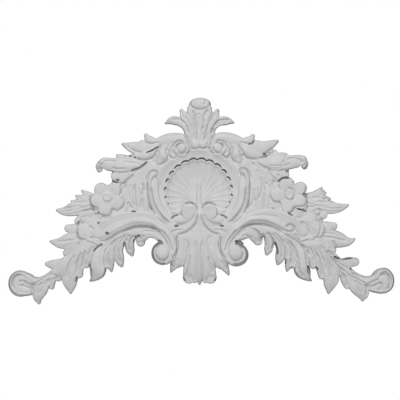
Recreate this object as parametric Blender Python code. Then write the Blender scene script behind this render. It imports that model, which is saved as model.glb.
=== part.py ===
"""A carved scroll onlay: a shell in a frame, with acanthus scrolls, flowers and leaves on both sides.

It is cast in one piece with a flat back. The carving is a height above the back, worked out on a
grid from strokes, balls, flowers and a shell, and the grid is then closed by the back.
Lengths are metres. +X is to the right, +Z is up, and the front faces -Y. The back lies at Y = 0.
"""
import bmesh
import bpy
import numpy as np

# Driving dimensions
WIDTH = 0.650
DEPTH = 0.0353
PLATE = 0.0125

# The drawing that the carving is laid out on, in its own units
DRAWING_WIDTH = 386.4
DRAWING_DEPTH = 23.0
DRAWING_LEFT, DRAWING_RIGHT = -196.0, 198.0
DRAWING_BOTTOM, DRAWING_TOP = -108.0, 106.0

# Fineness of the mesh
CELL = 1.0
TRIANGLES = 7750

# The cut at the back: what counts as on the plane, and how near to it a corner may lie
SNAP = 1e-6
CLEAR_OF_BACK = 0.0003

UNIT = WIDTH / DRAWING_WIDTH
RISE = DEPTH / DRAWING_DEPTH
GROUND = PLATE / RISE
SIDE_BED = 12.0
FINIAL_BED = 14.0
FLOWER_BED = 16.0
GAP_REACH, GAP_STEP = 2.5, 2.0
FILLED_ABOVE = 4.0
CREST_BED = 14.5
TWIN_BED = 17.0
LOBE_BED = 12.5
STEM_BED = 12.0
SHELL_X, SHELL_Z, SHELL_RADIUS = -1.5, 7.5, 34.0
SHELL_HEIGHT = 15.5
LOBE_DEPTH = 3.1
LOBE_ROUND = 3.6
HUB_RIGHT, HUB_DOWN = 0.4, 14.5
DISH_DEPTH, DISH_FALL = 4.5, 1.0
LIP_HEIGHT, LIP_PLACE, LIP_WIDTH = 0.9, 1.6, 1.4
FLUTE_ANGLE, FLUTE_SHIFT, FLUTE_DEPTH = 15.6, 2.0, 0.55
FLUTE_BEND, FLUTE_START = 0.62, 10.0
GAP_FLOOR, GAP_WIDTH, GAP_WALL = 3.0, 0.5, 20.0
GAP_TURN, GAP_LEAST, GAP_OPENING = 1.9, 0.1, 1.5
FRAME_HALF, FRAME_UP = 43.5, 1.0
BESIDE_SHELL, BELOW_SHELL = 3.0, 20.0
COVE_FLOOR, COVE_RISE, COVE_WIDTH = 14.0, 2.2, 8.0
OUTSIDE = -9.0
WALL = 32.0
LEAF_WALL = 14.0
RIM = 0.6
FILLET = 1.0
FILLET_DROP = 1.0
VEIN_START, VEIN_STOP = 0.12, 0.15

# The right half is the left half turned over, and then moved by hand as the carver did:
# a place on the left half, and how far its twin lies from the mirrored place
DRIFT = (
    (-34.5, 76.5, -1.2, 0.6), (-20, 91, -1.2, 0.5), (-24, 84, 0.0, -2.2), (-22, 74, -1.0, 1.4),
    (-54.5, 66.8, -1.3, -0.6), (-18.5, 51.5, -0.5, 0.5), (-60, 59.5, 0.0, -0.2), (-78.3, 56, 0.2, 3.3),
    (-82, 46, 0.0, 1.7), (-104, 33, 4.3, 3.0), (-92.3, 3.5, -3.3, 2.0), (-118.5, 10.8, 4.2, 0.8),
    (-124.7, 5.3, 1.3, 1.7), (-143.5, -10, 5.0, 5.0), (-125.5, -16.2, 2.0, 1.9), (-135, -27, 1.8, 2.2),
    (-150.5, -41, 4.8, 2.5), (-136.5, -56, -1.5, 3.5), (-155, -63.5, 4.3, 2.5), (-147, -70, 4.0, 0.5),
    (-191.8, -82, 2.7, 1.0), (-180, -70, 1.0, 3.0), (-175, -96.7, 4.0, 2.7), (-165, -78, -1.0, 2.2),
    (-160.5, -104.5, 1.5, 3.0), (-129.3, -94.4, -0.7, 0.0), (-109.5, -81, 1.3, 0.3),
    (-88.5, -72.3, -1.5, 0.3), (-78.5, -67.3, -0.4, 2.3), (-68, -56.3, -1.0, 0.8),
    (-60, -47.8, -2.0, 1.8), (-37.5, -52.5, -2.0, 0.0), (-48.7, -54, 0.3, -2.0),
    (-28.7, -72.3, -0.2, -3.0), (-10, -84, -0.3, 0.2), (-22.4, -44, -3.2, 0.0), (-24.5, -53, -2.6, 0.0),
    (-12.5, -10.7, -1.5, -0.3), (-52.5, 10, -3.0, 0.0), (-45, 28.5, -3.0, 2.5), (-60, -26.7, 0.0, 3.2),
)
DRIFT_REACH = 4.0


def smooth_path(stations, spacing=1.2):
    """A smooth curve through the stations. What is given beside x and z changes smoothly too."""
    points = np.array(stations, float)
    ends = 2 * points[[0, -1]] - points[[1, -2]]
    padded = np.vstack([ends[:1], points, ends[1:]])
    rows = []
    for before, start, stop, after in zip(padded, padded[1:], padded[2:], padded[3:]):
        length = np.hypot(*(stop - start)[:2])
        t = np.linspace(0, 1, max(2, int(length / spacing) + 1), endpoint=False)[:, None]
        rows.append(0.5 * (2 * start + (stop - before) * t
                           + (2 * before - 5 * start + 4 * stop - after) * t ** 2
                           + (3 * (start - stop) + after - before) * t ** 3))
    return np.vstack(rows + [points[-1:]])


def turned_over(stations):
    """The stations of the right half, from those of the left half."""
    moved = np.array(stations, float)
    drift = np.array(DRIFT)
    for row in moved:
        near = np.hypot(drift[:, 0] - row[0], drift[:, 1] - row[1])
        weight = 1 / (near + DRIFT_REACH) ** 3
        middle = min(1.0, abs(row[0]) / 8)
        dx, dz = (drift[:, 2:] * weight[:, None]).sum(0) / weight.sum() * middle
        row[0] = -row[0] + dx
        row[1] += dz
    return moved


def rounded_rim(inward):
    """How far a face drops where it comes close to its edge."""
    return FILLET_DROP * (1 - np.sqrt(1 - np.clip(1 - inward / FILLET, 0, 1) ** 2))


def soft_min(a, b, radius):
    overlap = np.maximum(radius - np.abs(a - b), 0) / radius
    return np.minimum(a, b) - overlap ** 2 * radius / 4


class Relief:
    """Heights above the back, on a grid of cells."""

    def __init__(self, cell):
        self.x = np.arange(DRAWING_LEFT, DRAWING_RIGHT + cell / 2, cell)
        self.z = np.arange(DRAWING_BOTTOM, DRAWING_TOP + cell / 2, cell)
        self.height = np.full((len(self.z), len(self.x)), OUTSIDE)

    def window(self, left, right, bottom, top):
        columns = slice(*np.searchsorted(self.x, (left, right)))
        rows = slice(*np.searchsorted(self.z, (bottom, top)))
        px, pz = np.meshgrid(self.x[columns], self.z[rows])
        return (rows, columns), px, pz

    def along(self, stations, margin):
        """For the cells near a path: where on it they are, how far from it, and on which side."""
        path = smooth_path(stations)
        reach = path[:, 2].max() + margin
        place, px, pz = self.window(path[:, 0].min() - reach, path[:, 0].max() + reach,
                                    path[:, 1].min() - reach, path[:, 1].max() + reach)
        best = np.full(px.shape, np.inf)
        found = np.zeros(px.shape + (path.shape[1],))
        side = np.zeros(px.shape)
        share = np.zeros(px.shape)
        lengths = np.hypot(np.diff(path[:, 0]), np.diff(path[:, 1]))
        travelled = np.concatenate([[0], np.cumsum(lengths)]) / lengths.sum()
        for k, (start, stop) in enumerate(zip(path, path[1:])):
            run = stop[:2] - start[:2]
            t = ((px - start[0]) * run[0] + (pz - start[1]) * run[1]) / max(run @ run, 1e-9)
            t = np.clip(t, 0, 1)
            away_x, away_z = px - start[0] - t * run[0], pz - start[1] - t * run[1]
            distance = np.hypot(away_x, away_z)
            nearer = distance < best
            best[nearer] = distance[nearer]
            found[nearer] = start + t[nearer][:, None] * (stop - start)
            side[nearer] = np.sign(run[0] * away_z - run[1] * away_x)[nearer]
            share[nearer] = travelled[k] + t[nearer] * lengths[k] / lengths.sum()
        return place, best, side, share, found[..., 2], found[..., 3]

    def raise_to(self, place, local):
        self.height[place] = np.maximum(self.height[place], local)

    def stroke(self, stations, crown=2.0, veins=(), foot=2.0, turn=1, wall=WALL):
        """A leaf, band or rod. Each station is x, z, half width, height."""
        place, distance, side, share, half, top = self.along(stations, 3)
        across = np.clip(distance / np.maximum(half, 0.1), 0, 1)
        top = top - crown * across ** 2
        fade = np.clip(share / VEIN_START, 0, 1) * np.clip((1 - share) / VEIN_STOP, 0, 1)
        for position, depth, width in veins:
            off = (side * turn * across - position) * half
            top = top - depth * fade * np.exp(-(off / width) ** 2)
        edge = foot + wall * (half - distance)
        self.raise_to(place, soft_min(top - rounded_rim(half - distance), edge, RIM))

    def ball(self, x, z, radius_x, radius_z, height, dome=3.0, foot=2.0, wall=WALL):
        """A boss with a domed face."""
        reach = max(radius_x, radius_z) + 4
        place, px, pz = self.window(x - reach, x + reach, z - reach, z + reach)
        out = np.hypot((px - x) / radius_x, (pz - z) / radius_z)
        top = height - dome * (1 - np.sqrt(np.clip(1 - out ** 2, 0, 1)))
        edge = foot + np.where(out < 1, wall, WALL) * (1 - out) * min(radius_x, radius_z)
        self.raise_to(place, soft_min(top, edge, RIM))

    def plate(self, outline, height, foot=2.0, wall=WALL):
        """Flat ground inside an outline."""
        ring = np.array(outline, float)[:, :2]
        (left, bottom), (right, top) = ring.min(0) - 1, ring.max(0) + 1
        place, px, pz = self.window(left, right, bottom, top)
        inside = np.zeros(px.shape, bool)
        distance = np.full(px.shape, np.inf)
        for start, stop in zip(ring, np.roll(ring, -1, axis=0)):
            run = stop - start
            t = np.clip(((px - start[0]) * run[0] + (pz - start[1]) * run[1]) / (run @ run), 0, 1)
            distance = np.minimum(distance, np.hypot(px - start[0] - t * run[0],
                                                     pz - start[1] - t * run[1]))
            crosses = (start[1] > pz) != (stop[1] > pz)
            level = start[0] + (pz - start[1]) * run[0] / (run[1] if run[1] else 1e-9)
            inside ^= crosses & (px < level)
        signed = np.where(inside, distance, -distance)
        self.raise_to(place, np.minimum(height, foot + wall * signed))


def on_both(relief, stations, **form):
    """The same stroke on the left half and, turned over, on the right half."""
    relief.stroke(stations, turn=1, **form)
    relief.stroke(turned_over(stations), turn=-1, **form)


def balls_on_both(relief, x, z, radius_x, radius_z, height, **form):
    relief.ball(x, z, radius_x, radius_z, height, **form)
    right = turned_over([(x, z)])[0]
    relief.ball(right[0], right[1], radius_x, radius_z, height, **form)


def plates_on_both(relief, outline, height, **form):
    relief.plate(outline, height, **form)
    relief.plate(turned_over(outline), height, **form)


def arc(x, z, radius_x, radius_z, first, last, half, height, count=9):
    """Stations on part of an ellipse, between two angles in degrees."""
    angles = np.radians(np.linspace(first, last, count))
    return [(x + radius_x * np.cos(a), z + radius_z * np.sin(a), half, height) for a in angles]


def ground(relief):
    """The low plate that joins the carving, and the higher beds of its crowded parts."""
    half = [(1, -76), (1, 88), (-8, 88), (-12, 74), (-13, 62), (-30, 61), (-50, 60), (-58, 53),
            (-68, 46), (-80, 41), (-97, 37), (-84, 27), (-86, 18), (-100, 10), (-104, 5), (-118, 2),
            (-124, -12), (-121, -24), (-131, -42), (-133, -56), (-145, -66), (-152, -78), (-140, -76),
            (-128, -72), (-112, -62), (-98, -62), (-89, -58), (-80, -50), (-70, -42), (-60, -36),
            (-48, -34), (-40, -38), (-34, -46), (-30, -58), (-22, -63), (-12, -70)]
    side_bed = [(-48, 30), (-52, 40), (-66, 42), (-78, 40), (-80, 30), (-84, 24), (-84, 16), (-100, 6),
                (-106, -2), (-106, -12), (-118, -14), (-121, -26), (-121, -40), (-132, -54), (-142, -66),
                (-128, -66), (-112, -56), (-100, -46), (-84, -36), (-60, -24), (-44, -20)]
    plates_on_both(relief, half, GROUND)
    plates_on_both(relief, side_bed, SIDE_BED)
    plates_on_both(relief, [(-88, 28), (-70, 32), (-66, 20), (-80, 14), (-88, 17)], SIDE_BED)
    plates_on_both(relief, [(-63, 14), (-63, 34), (-40, 37), (-30, 41), (-34, 30), (-46, 14)], CREST_BED)


def finial(relief):
    """The palmette at the top: a ball, and two pairs of leaves that curl out of a sheaf of ribs."""
    bed = [(0, 46), (-9, 46), (-12.4, 60), (-13.6, 66), (-14.6, 74), (-17, 84), (-11.6, 90), (-10, 94),
           (0, 95)]
    plates_on_both(relief, bed, FINIAL_BED)
    relief.stroke([(-0.8, 57, 4.8, 16.6), (-0.8, 70, 4.4, 18.4), (-0.8, 82, 5.4, 19.1),
                   (-0.7, 88, 6.6, 18.9)],
                  crown=0.2)
    on_both(relief, [(-11.6, 54, 2.6, 14), (-12.8, 64, 2.7, 15.5), (-14.4, 71.4, 2.8, 16.5),
                     (-19.8, 77.8, 4.3, 17), (-27.4, 79.4, 4.2, 15.5), (-34.2, 76.9, 1.2, 12)],
            crown=1.0)
    on_both(relief, [(-9.0, 56, 2.8, 15), (-10.2, 66, 3.2, 16.5), (-12.4, 76, 4.0, 18),
                     (-15.8, 84, 4.2, 18),
                     (-18.4, 89.2, 1.9, 16)], crown=0.7)
    on_both(relief, [(-6.6, 57, 2.2, 16), (-7.4, 70, 2.6, 17.5), (-9.0, 80, 3.0, 18.4),
                     (-10.4, 87.4, 2.6, 18.2),
                     (-10.6, 92.0, 2.0, 17.5)], crown=0.6)
    on_both(relief, [(-4.0, 58, 2.0, 16.5), (-4.4, 70, 2.3, 18), (-5.2, 80, 2.8, 18.8),
                     (-6.4, 89, 3.2, 18.8)],
            crown=0.5)
    relief.stroke([(-0.9, 58, 2.1, 17), (-0.9, 72, 2.4, 18.2), (-1.1, 80, 2.8, 18.8),
                   (-1.2, 84.6, 2.6, 18.8)],
                  crown=0.4, foot=15)
    relief.stroke([(-0.8, 85.4, 5.4, 18.2), (-0.7, 92, 8.5, 18.6)], crown=0.6, foot=14)
    relief.ball(-0.3, 91.6, 11.5, 9.8, 18.2, dome=0.4)
    relief.ball(0.1, 95.9, 9.8, 5.8, 20.8, dome=2.0, foot=17.6, wall=3)
    relief.ball(-4.8, 55.4, 3.9, 4.0, 18.2, dome=1.8, foot=12)
    relief.ball(3.0, 55.9, 4.0, 4.0, 18.2, dome=1.8, foot=12)


def crest(relief):
    """The pair of scrolls under the finial, with their hooks and drops."""
    bed = [(-9, 43), (-9, 58), (-13, 64), (-28, 64), (-50, 59), (-54, 52), (-56, 38), (-50, 26), (-38, 33),
           (-26, 40), (-18, 42)]
    plates_on_both(relief, bed, CREST_BED)
    on_both(relief, [(-11.6, 50, 2.0, 16.5), (-13.8, 56, 3.4, 17.5), (-18.6, 61.0, 5.1, 18),
                     (-27, 61.0, 6.1, 18), (-36, 59.4, 5.6, 17.5), (-44, 58.2, 3.6, 16.5),
                     (-50.4, 59.8, 4.6, 16), (-54.0, 64.6, 1.9, 14)], crown=1.5, veins=((-0.55, 0.6, 1.0),))
    on_both(relief, arc(-18.2, 51.6, 6.5, 6.0, 10, -170, 1.9, 17.8), crown=1.0, foot=15)
    balls_on_both(relief, -18.4, 51.6, 5.0, 4.6, 18.8, dome=2.0, foot=15)
    on_both(relief, [(-18.5, 58.8, 1.4, 17), (-24.4, 58.0, 2.2, 17.5), (-28.4, 53.4, 2.6, 17.5),
                     (-29.0, 47.6, 2.6, 17.5),
                     (-27.4, 44.0, 2.2, 16.5), (-24.6, 44.6, 1.3, 16)], crown=1.1, foot=14)
    on_both(relief, [(-34.6, 57.6, 3.4, 17), (-35.8, 51, 4.6, 17.5), (-38.0, 44.5, 6.2, 18),
                     (-40.0, 40.4, 5.6, 16.5)], crown=1.8, foot=9, veins=((-0.2, 0.6, 0.7),))
    on_both(relief, [(-31.8, 57, 1.4, 16.5), (-31.4, 48, 1.4, 16),
                     (-31.4, 42, 1.2, 15)], crown=0.8, foot=12)


def side_leaves(relief):
    """The leaves that reach out beside the shell."""
    on_both(relief, [(-44, 55.4, 3.0, 15), (-52, 56.2, 3.4, 14.5), (-58.6, 57.8, 2.0, 12.5)], crown=1.0)
    on_both(relief, [(-37, 57, 1.6, 16.5), (-48, 54.0, 4.4, 16), (-58, 51.6, 6.4, 15.5),
                     (-66.5, 52.4, 5.8, 14), (-73, 54.3, 3.4, 12.5), (-77.2, 56.0, 1.3, 10.5)], crown=1.3)
    on_both(relief, [(-42, 53, 2.6, 16.5), (-47, 48.4, 4.6, 17), (-55, 45.0, 5.4, 16),
                     (-63.4, 44.2, 3.2, 14)],
            crown=1.3, foot=9)
    on_both(relief, [(-70, 40.0, 3.8, 15), (-78.6, 42.2, 3.6, 15), (-82.2, 44.2, 1.8, 13)], crown=1.0)
    on_both(relief, [(-52.6, 38.6, 2.0, 15.5), (-61, 36.0, 5.0, 16), (-70, 35.0, 6.6, 16.5),
                     (-79, 35.0, 7.2, 17),
                     (-88, 35.2, 6.6, 17.5), (-95.6, 36.2, 6.1, 17.5), (-100.2, 33.6, 4.2, 17),
                     (-100.6, 30.6, 2.9, 15.5)], crown=1.7)
    relief.stroke([(57, 50.6, 6.4, 15.5), (66, 52.8, 6.0, 14.5), (72.4, 55.8, 3.5, 13),
                   (77, 58.5, 1.6, 10.5)],
                  crown=1.3)
    relief.stroke([(84, 38.4, 6.0, 17.2), (92, 39, 5.6, 17.5), (98, 40.2, 4.9, 17.4), (102.6, 40.2, 4.2, 17)],
                  crown=1.7)
    relief.ball(85, 43.6, 3.5, 3.6, 14, dome=1.0)
    relief.ball(73.4, 46.2, 4.8, 4.2, 14, dome=1.0)
    balls_on_both(relief, -84, 24.0, 5.0, 5.2, 15, dome=1.4)
    on_both(relief, [(-60, 31.4, 3.8, 14), (-70, 26.0, 5.0, 14.5), (-79, 22.4, 6.6, 14.5),
                     (-82.6, 21.0, 4.8, 13.5)],
            crown=1.2)


def husks(relief):
    """The upright folds between the flower and the frame."""
    for bottom, top, half in (((-71.8, -12), (-76.5, 13), 3.0), ((-66.8, -13), (-71, 16), 3.7),
                              ((-60.6, -13), (-61.8, 17), 4.8), ((-53.8, -13), (-54.6, 18), 3.8)):
        middle = ((bottom[0] + top[0]) / 2, (bottom[1] + top[1]) / 2)
        on_both(relief, [(*bottom, half * 0.85, 14.5), (*middle, half, 16), (*top, half, 15)],
                crown=1.4, foot=12)
    on_both(relief, [(-58.6, 2, 2.4, 16.5), (-58.4, 12, 2.6, 17)], crown=1.0, foot=14)
    on_both(relief, [(-66, 15, 4.0, 15), (-62, 24, 4.2, 15), (-56, 31, 3.6, 14.5)], crown=1.0, foot=12)
    on_both(relief, [(-72, 15, 3.0, 14.5), (-69, 24, 3.2, 14.5), (-64, 31, 3.0, 14)], crown=1.0, foot=12)


def shell(relief):
    """A scallop shell set in a round frame, its flutes spreading from the foot."""
    place, px, pz = relief.window(-50, 48, -42, 58)
    ring = np.hypot(px - SHELL_X, pz - SHELL_Z)
    frame = np.hypot((px - SHELL_X) / FRAME_HALF, (pz - SHELL_Z - FRAME_UP) / FRAME_HALF)
    cove = COVE_FLOOR + COVE_RISE * np.clip((ring - SHELL_RADIUS) / COVE_WIDTH, 0, 1) ** 2
    relief.raise_to(place, np.minimum(cove, 2 + WALL * FRAME_HALF * (1 - frame)))
    hub_x, hub_z = SHELL_X + HUB_RIGHT, SHELL_Z - HUB_DOWN
    out = np.hypot(px - hub_x, pz - hub_z)
    bend = FLUTE_BEND + (1 - FLUTE_BEND) * np.clip(out / SHELL_RADIUS, 0, 1)
    ray = np.clip(np.arctan2(px - hub_x, pz - hub_z) / bend, -np.pi, np.pi)
    off_x, off_z = hub_x - SHELL_X, hub_z - SHELL_Z
    along = off_x * np.sin(ray) + off_z * np.cos(ray)
    reach = np.sqrt(along ** 2 + SHELL_RADIUS ** 2 - off_x ** 2 - off_z ** 2) - along
    rim = np.arctan2(off_x + reach * np.sin(ray), off_z + reach * np.cos(ray))
    phase = (rim + np.radians(FLUTE_SHIFT)) / np.radians(FLUTE_ANGLE) % 1 - 0.5
    lobe = np.sqrt(np.clip(1 - LOBE_ROUND * phase ** 2, 0, 1))
    span = np.clip(out / reach, 0, 1)
    dish = SHELL_HEIGHT - DISH_DEPTH * np.sin(span * np.pi) ** 0.9 - DISH_FALL * span
    ridge = FLUTE_DEPTH * (2 * np.abs(phase)) ** 3 * np.clip(out / FLUTE_START, 0, 1)
    edge = reach - LOBE_DEPTH * (1 - lobe) - out
    lip = LIP_HEIGHT * np.exp(-((edge - LIP_PLACE) / LIP_WIDTH) ** 2)
    faces = rim + GAP_TURN * phase
    openness = np.clip(GAP_LEAST + GAP_OPENING * np.cos(faces), 0, 1)
    floor = GAP_FLOOR + (COVE_FLOOR - GAP_FLOOR) * (1 - openness)
    face = np.minimum(dish + ridge + lip, floor + GAP_WALL * edge)
    surround = floor + GAP_WALL * np.maximum(-edge - GAP_WIDTH * openness, 0)
    relief.height[place] = np.where(edge > 0, face, np.minimum(relief.height[place], surround))
    relief.stroke([(-1.0, -8, 4.8, 15.0), (-1.1, 2, 3.8, 14.4), (-1.2, 10, 2.6, 13.2),
                   (-1.2, 18, 1.6, 12.0)],
                  crown=1.0, foot=11, wall=1.5)


def frame_scrolls(relief):
    """The two long C scrolls that hold the shell."""
    on_both(relief, [(-44.8, 22.4, 2.2, 17.4), (-46.4, 16, 4.9, 18.2), (-47.0, 10, 5.5, 19),
                     (-45.8, 1, 5.7, 19), (-42.5, -7, 5.7, 19), (-37.4, -14.2, 5.6, 19),
                     (-31.2, -21, 5.4, 19), (-27.0, -29, 5.0, 19), (-25.4, -38, 4.0, 18.5),
                     (-24.8, -47, 3.2, 17.5), (-26.6, -56, 3.0, 17), (-29.8, -61.0, 1.8, 16)],
            crown=0.8, foot=12)
    on_both(relief, [(-50.6, 12, 1.9, 19.2), (-50.4, 18.6, 2.2, 19.6), (-49.0, 23.2, 2.4, 20),
                     (-47.0, 25.8, 2.4, 20), (-45.2, 26.0, 2.2, 20), (-44.6, 25.2, 1.8, 19.6)],
            crown=0.7, foot=14)


def twin_volutes(relief):
    """The two small leaves that curl together below the shell."""
    bed = [(0, -13), (-9, -4), (-17, -12), (-27, -20), (-28, -31), (-20, -33), (-8, -28), (-2, -22)]
    plates_on_both(relief, bed, TWIN_BED, foot=12)
    relief.stroke([(-0.5, -8, 2.6, 16.5), (-0.5, -16, 3.0, 18), (-0.5, -26, 3.0, 18.6)], crown=0.8, foot=12)
    on_both(relief, [(-9, -18.4, 5.0, 19.5), (-16, -19.4, 5.0, 19.5), (-23, -19.8, 4.8, 19),
                     (-26.8, -20.8, 3.0, 17.5)], crown=1.6, foot=12)
    on_both(relief, [(-6.5, -21, 5.0, 19.5), (-12.6, -27.8, 4.8, 19.5), (-20, -30.4, 4.4, 18.6),
                     (-27.2, -31.4, 2.4, 16.5)], crown=1.4, foot=12)
    balls_on_both(relief, -11.4, -11.2, 7.4, 8.5, 20.6, dome=1.0, foot=9)
    on_both(relief, [(-11.0, -25.6, 3.4, 19.5), (-6.6, -19.0, 4.6, 20.4), (-5.4, -11.6, 3.6, 21),
                     (-7.8, -7.4, 2.9, 21), (-11.6, -6.4, 2.2, 20.8)], crown=0.6, foot=18.5)


def pendant(relief):
    """The fluted drop below the twin volutes."""
    on_both(relief, [(-19.8, -33, 4.6, 17), (-19.8, -48, 4.6, 17.4), (-22.4, -58, 5.4, 16.4),
                     (-25.2, -64.4, 4.6, 14.5),
                     (-27.6, -69, 2.5, 12), (-28.8, -71.6, 1.1, 10)], crown=1.0)
    on_both(relief, [(-15.2, -33, 4.4, 18), (-14.6, -48, 4.6, 18.2), (-16.2, -58, 4.6, 17.2),
                     (-18.6, -62.8, 3.8, 15.4),
                     (-21.6, -66, 1.9, 13)], crown=0.9)
    on_both(relief, [(-11.0, -34, 4.4, 18.6), (-10.6, -50, 5.0, 18.8), (-11.0, -62, 5.2, 18.2),
                     (-11.2, -71, 5.4, 16.8),
                     (-10.9, -77.4, 6.2, 14)],
            crown=0.7)
    on_both(relief, [(-6.0, -36, 3.6, 18.8), (-5.2, -50, 3.4, 19), (-5.2, -64, 3.2, 18.4),
                     (-5.4, -74, 3.2, 16.6),
                     (-5.3, -80.4, 2.7, 14)], crown=0.7)
    relief.stroke([(-0.6, -22.6, 2.2, 18), (-0.6, -30, 7.4, 19), (-0.6, -38, 7.4, 19.3),
                   (-0.6, -46, 4.4, 19.3),
                   (-0.6, -58, 3.4, 19), (-0.6, -72, 3.2, 17.6), (-0.6, -79, 3.0, 15),
                   (-0.4, -84.0, 1.1, 11)],
                  crown=0.9)


def big_volutes(relief):
    """The broad arch bands, which roll up into the large volutes."""
    on_both(relief, [(-97, -43.6, 3.0, 15), (-87, -38.6, 5.6, 17.5), (-75, -33.6, 6.6, 18.6),
                     (-64, -31.2, 6.4, 18.6), (-54, -31.4, 6.3, 18.6), (-46, -33.0, 5.3, 18.8),
                     (-39.6, -37.2, 4.7, 19), (-34.8, -44, 4.0, 19)], crown=1.2)
    on_both(relief, [(-108, -37, 4.4, 14), (-98, -31.2, 10.2, 17), (-87, -25.4, 10.6, 19.4),
                     (-76.5, -20.6, 9.4, 20.5), (-66, -18.2, 7.9, 21), (-56, -18.2, 7.2, 21),
                     (-46.5, -20.6, 6.8, 21), (-37.4, -26.6, 6.0, 21), (-31.4, -34.4, 5.2, 21),
                     (-27.9, -43, 4.6, 21), (-26.8, -50, 3.9, 21), (-28.4, -56.4, 3.4, 20.5),
                     (-33.4, -61.6, 2.6, 20)],
            crown=1.3, veins=((0.72, -0.6, 1.1), (0.15, 0.5, 1.8), (-0.4, -0.7, 1.5)), foot=14.5)
    relief.ball(-37.4, -53.1, 11.3, 12.0, 18.6, dome=0.8, wall=4.5)
    relief.ball(36.4, -54.8, 12.2, 11.7, 18.6, dome=0.8, wall=4.5)
    relief.ball(40.2, -44.2, 3.4, 3.2, 12, dome=0.8, wall=4.5)
    relief.stroke([(42, -35.2, 5.0, 17.5), (49, -34.4, 3.8, 17.2), (55, -37.6, 4.8, 16.5),
                   (58, -41, 4.4, 15)],
                  crown=1.2)
    on_both(relief, arc(-37.3, -53.0, 7.8, 8.4, 60, -210, 1.4, 19.6, 14), crown=0.7, foot=17)
    balls_on_both(relief, -37.5, -52.5, 7.4, 7.6, 23, dome=4.0, foot=17.5)


def hanging_lobes(relief):
    """The leaf tips that hang under the arches, each running down out of the arch."""
    bed = [(-48, -33), (-58, -38), (-64, -37.5), (-66.5, -42), (-74, -43), (-77.5, -49), (-78, -56),
           (-84, -60), (-92, -67), (-98, -64), (-97, -46), (-85, -36), (-70, -28), (-55, -28)]
    plates_on_both(relief, bed, LOBE_BED)
    lobes = (
        [(-93, -43.5, 3.0, 16), (-95.4, -50, 3.4, 16), (-96.2, -58, 3.6, 15), (-96.0, -66, 3.0, 13.5)],
        [(-78, -35.5, 2.6, 17.5), (-84, -41, 4.0, 17), (-89, -48, 4.7, 16.5), (-90.4, -56, 5.1, 15.5),
         (-89.9, -63, 4.2, 14), (-88.9, -69, 2.5, 11.5), (-88.5, -71, 1.2, 10)],
        [(-69, -32, 2.6, 18), (-75, -37, 3.8, 17.5), (-79.5, -43, 4.5, 17), (-81.4, -50, 4.5, 16),
         (-81.0, -57, 4.9, 15), (-79.4, -63, 3.6, 13), (-78.4, -65.6, 1.8, 11)],
        [(-60, -30.5, 2.6, 18), (-66, -34.5, 3.6, 18), (-69.5, -40, 4.3, 17.5), (-70.4, -46, 4.4, 16.5),
         (-69.2, -51.3, 4.0, 14.5), (-68.0, -54.4, 2.0, 12.5)],
        [(-48, -33.4, 2.6, 18.5), (-54.6, -35.2, 4.4, 18), (-58.8, -38.6, 4.9, 17),
         (-59.2, -42.4, 4.2, 15)],
    )
    for lobe in lobes:
        on_both(relief, lobe, crown=1.3, foot=4)


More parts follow.
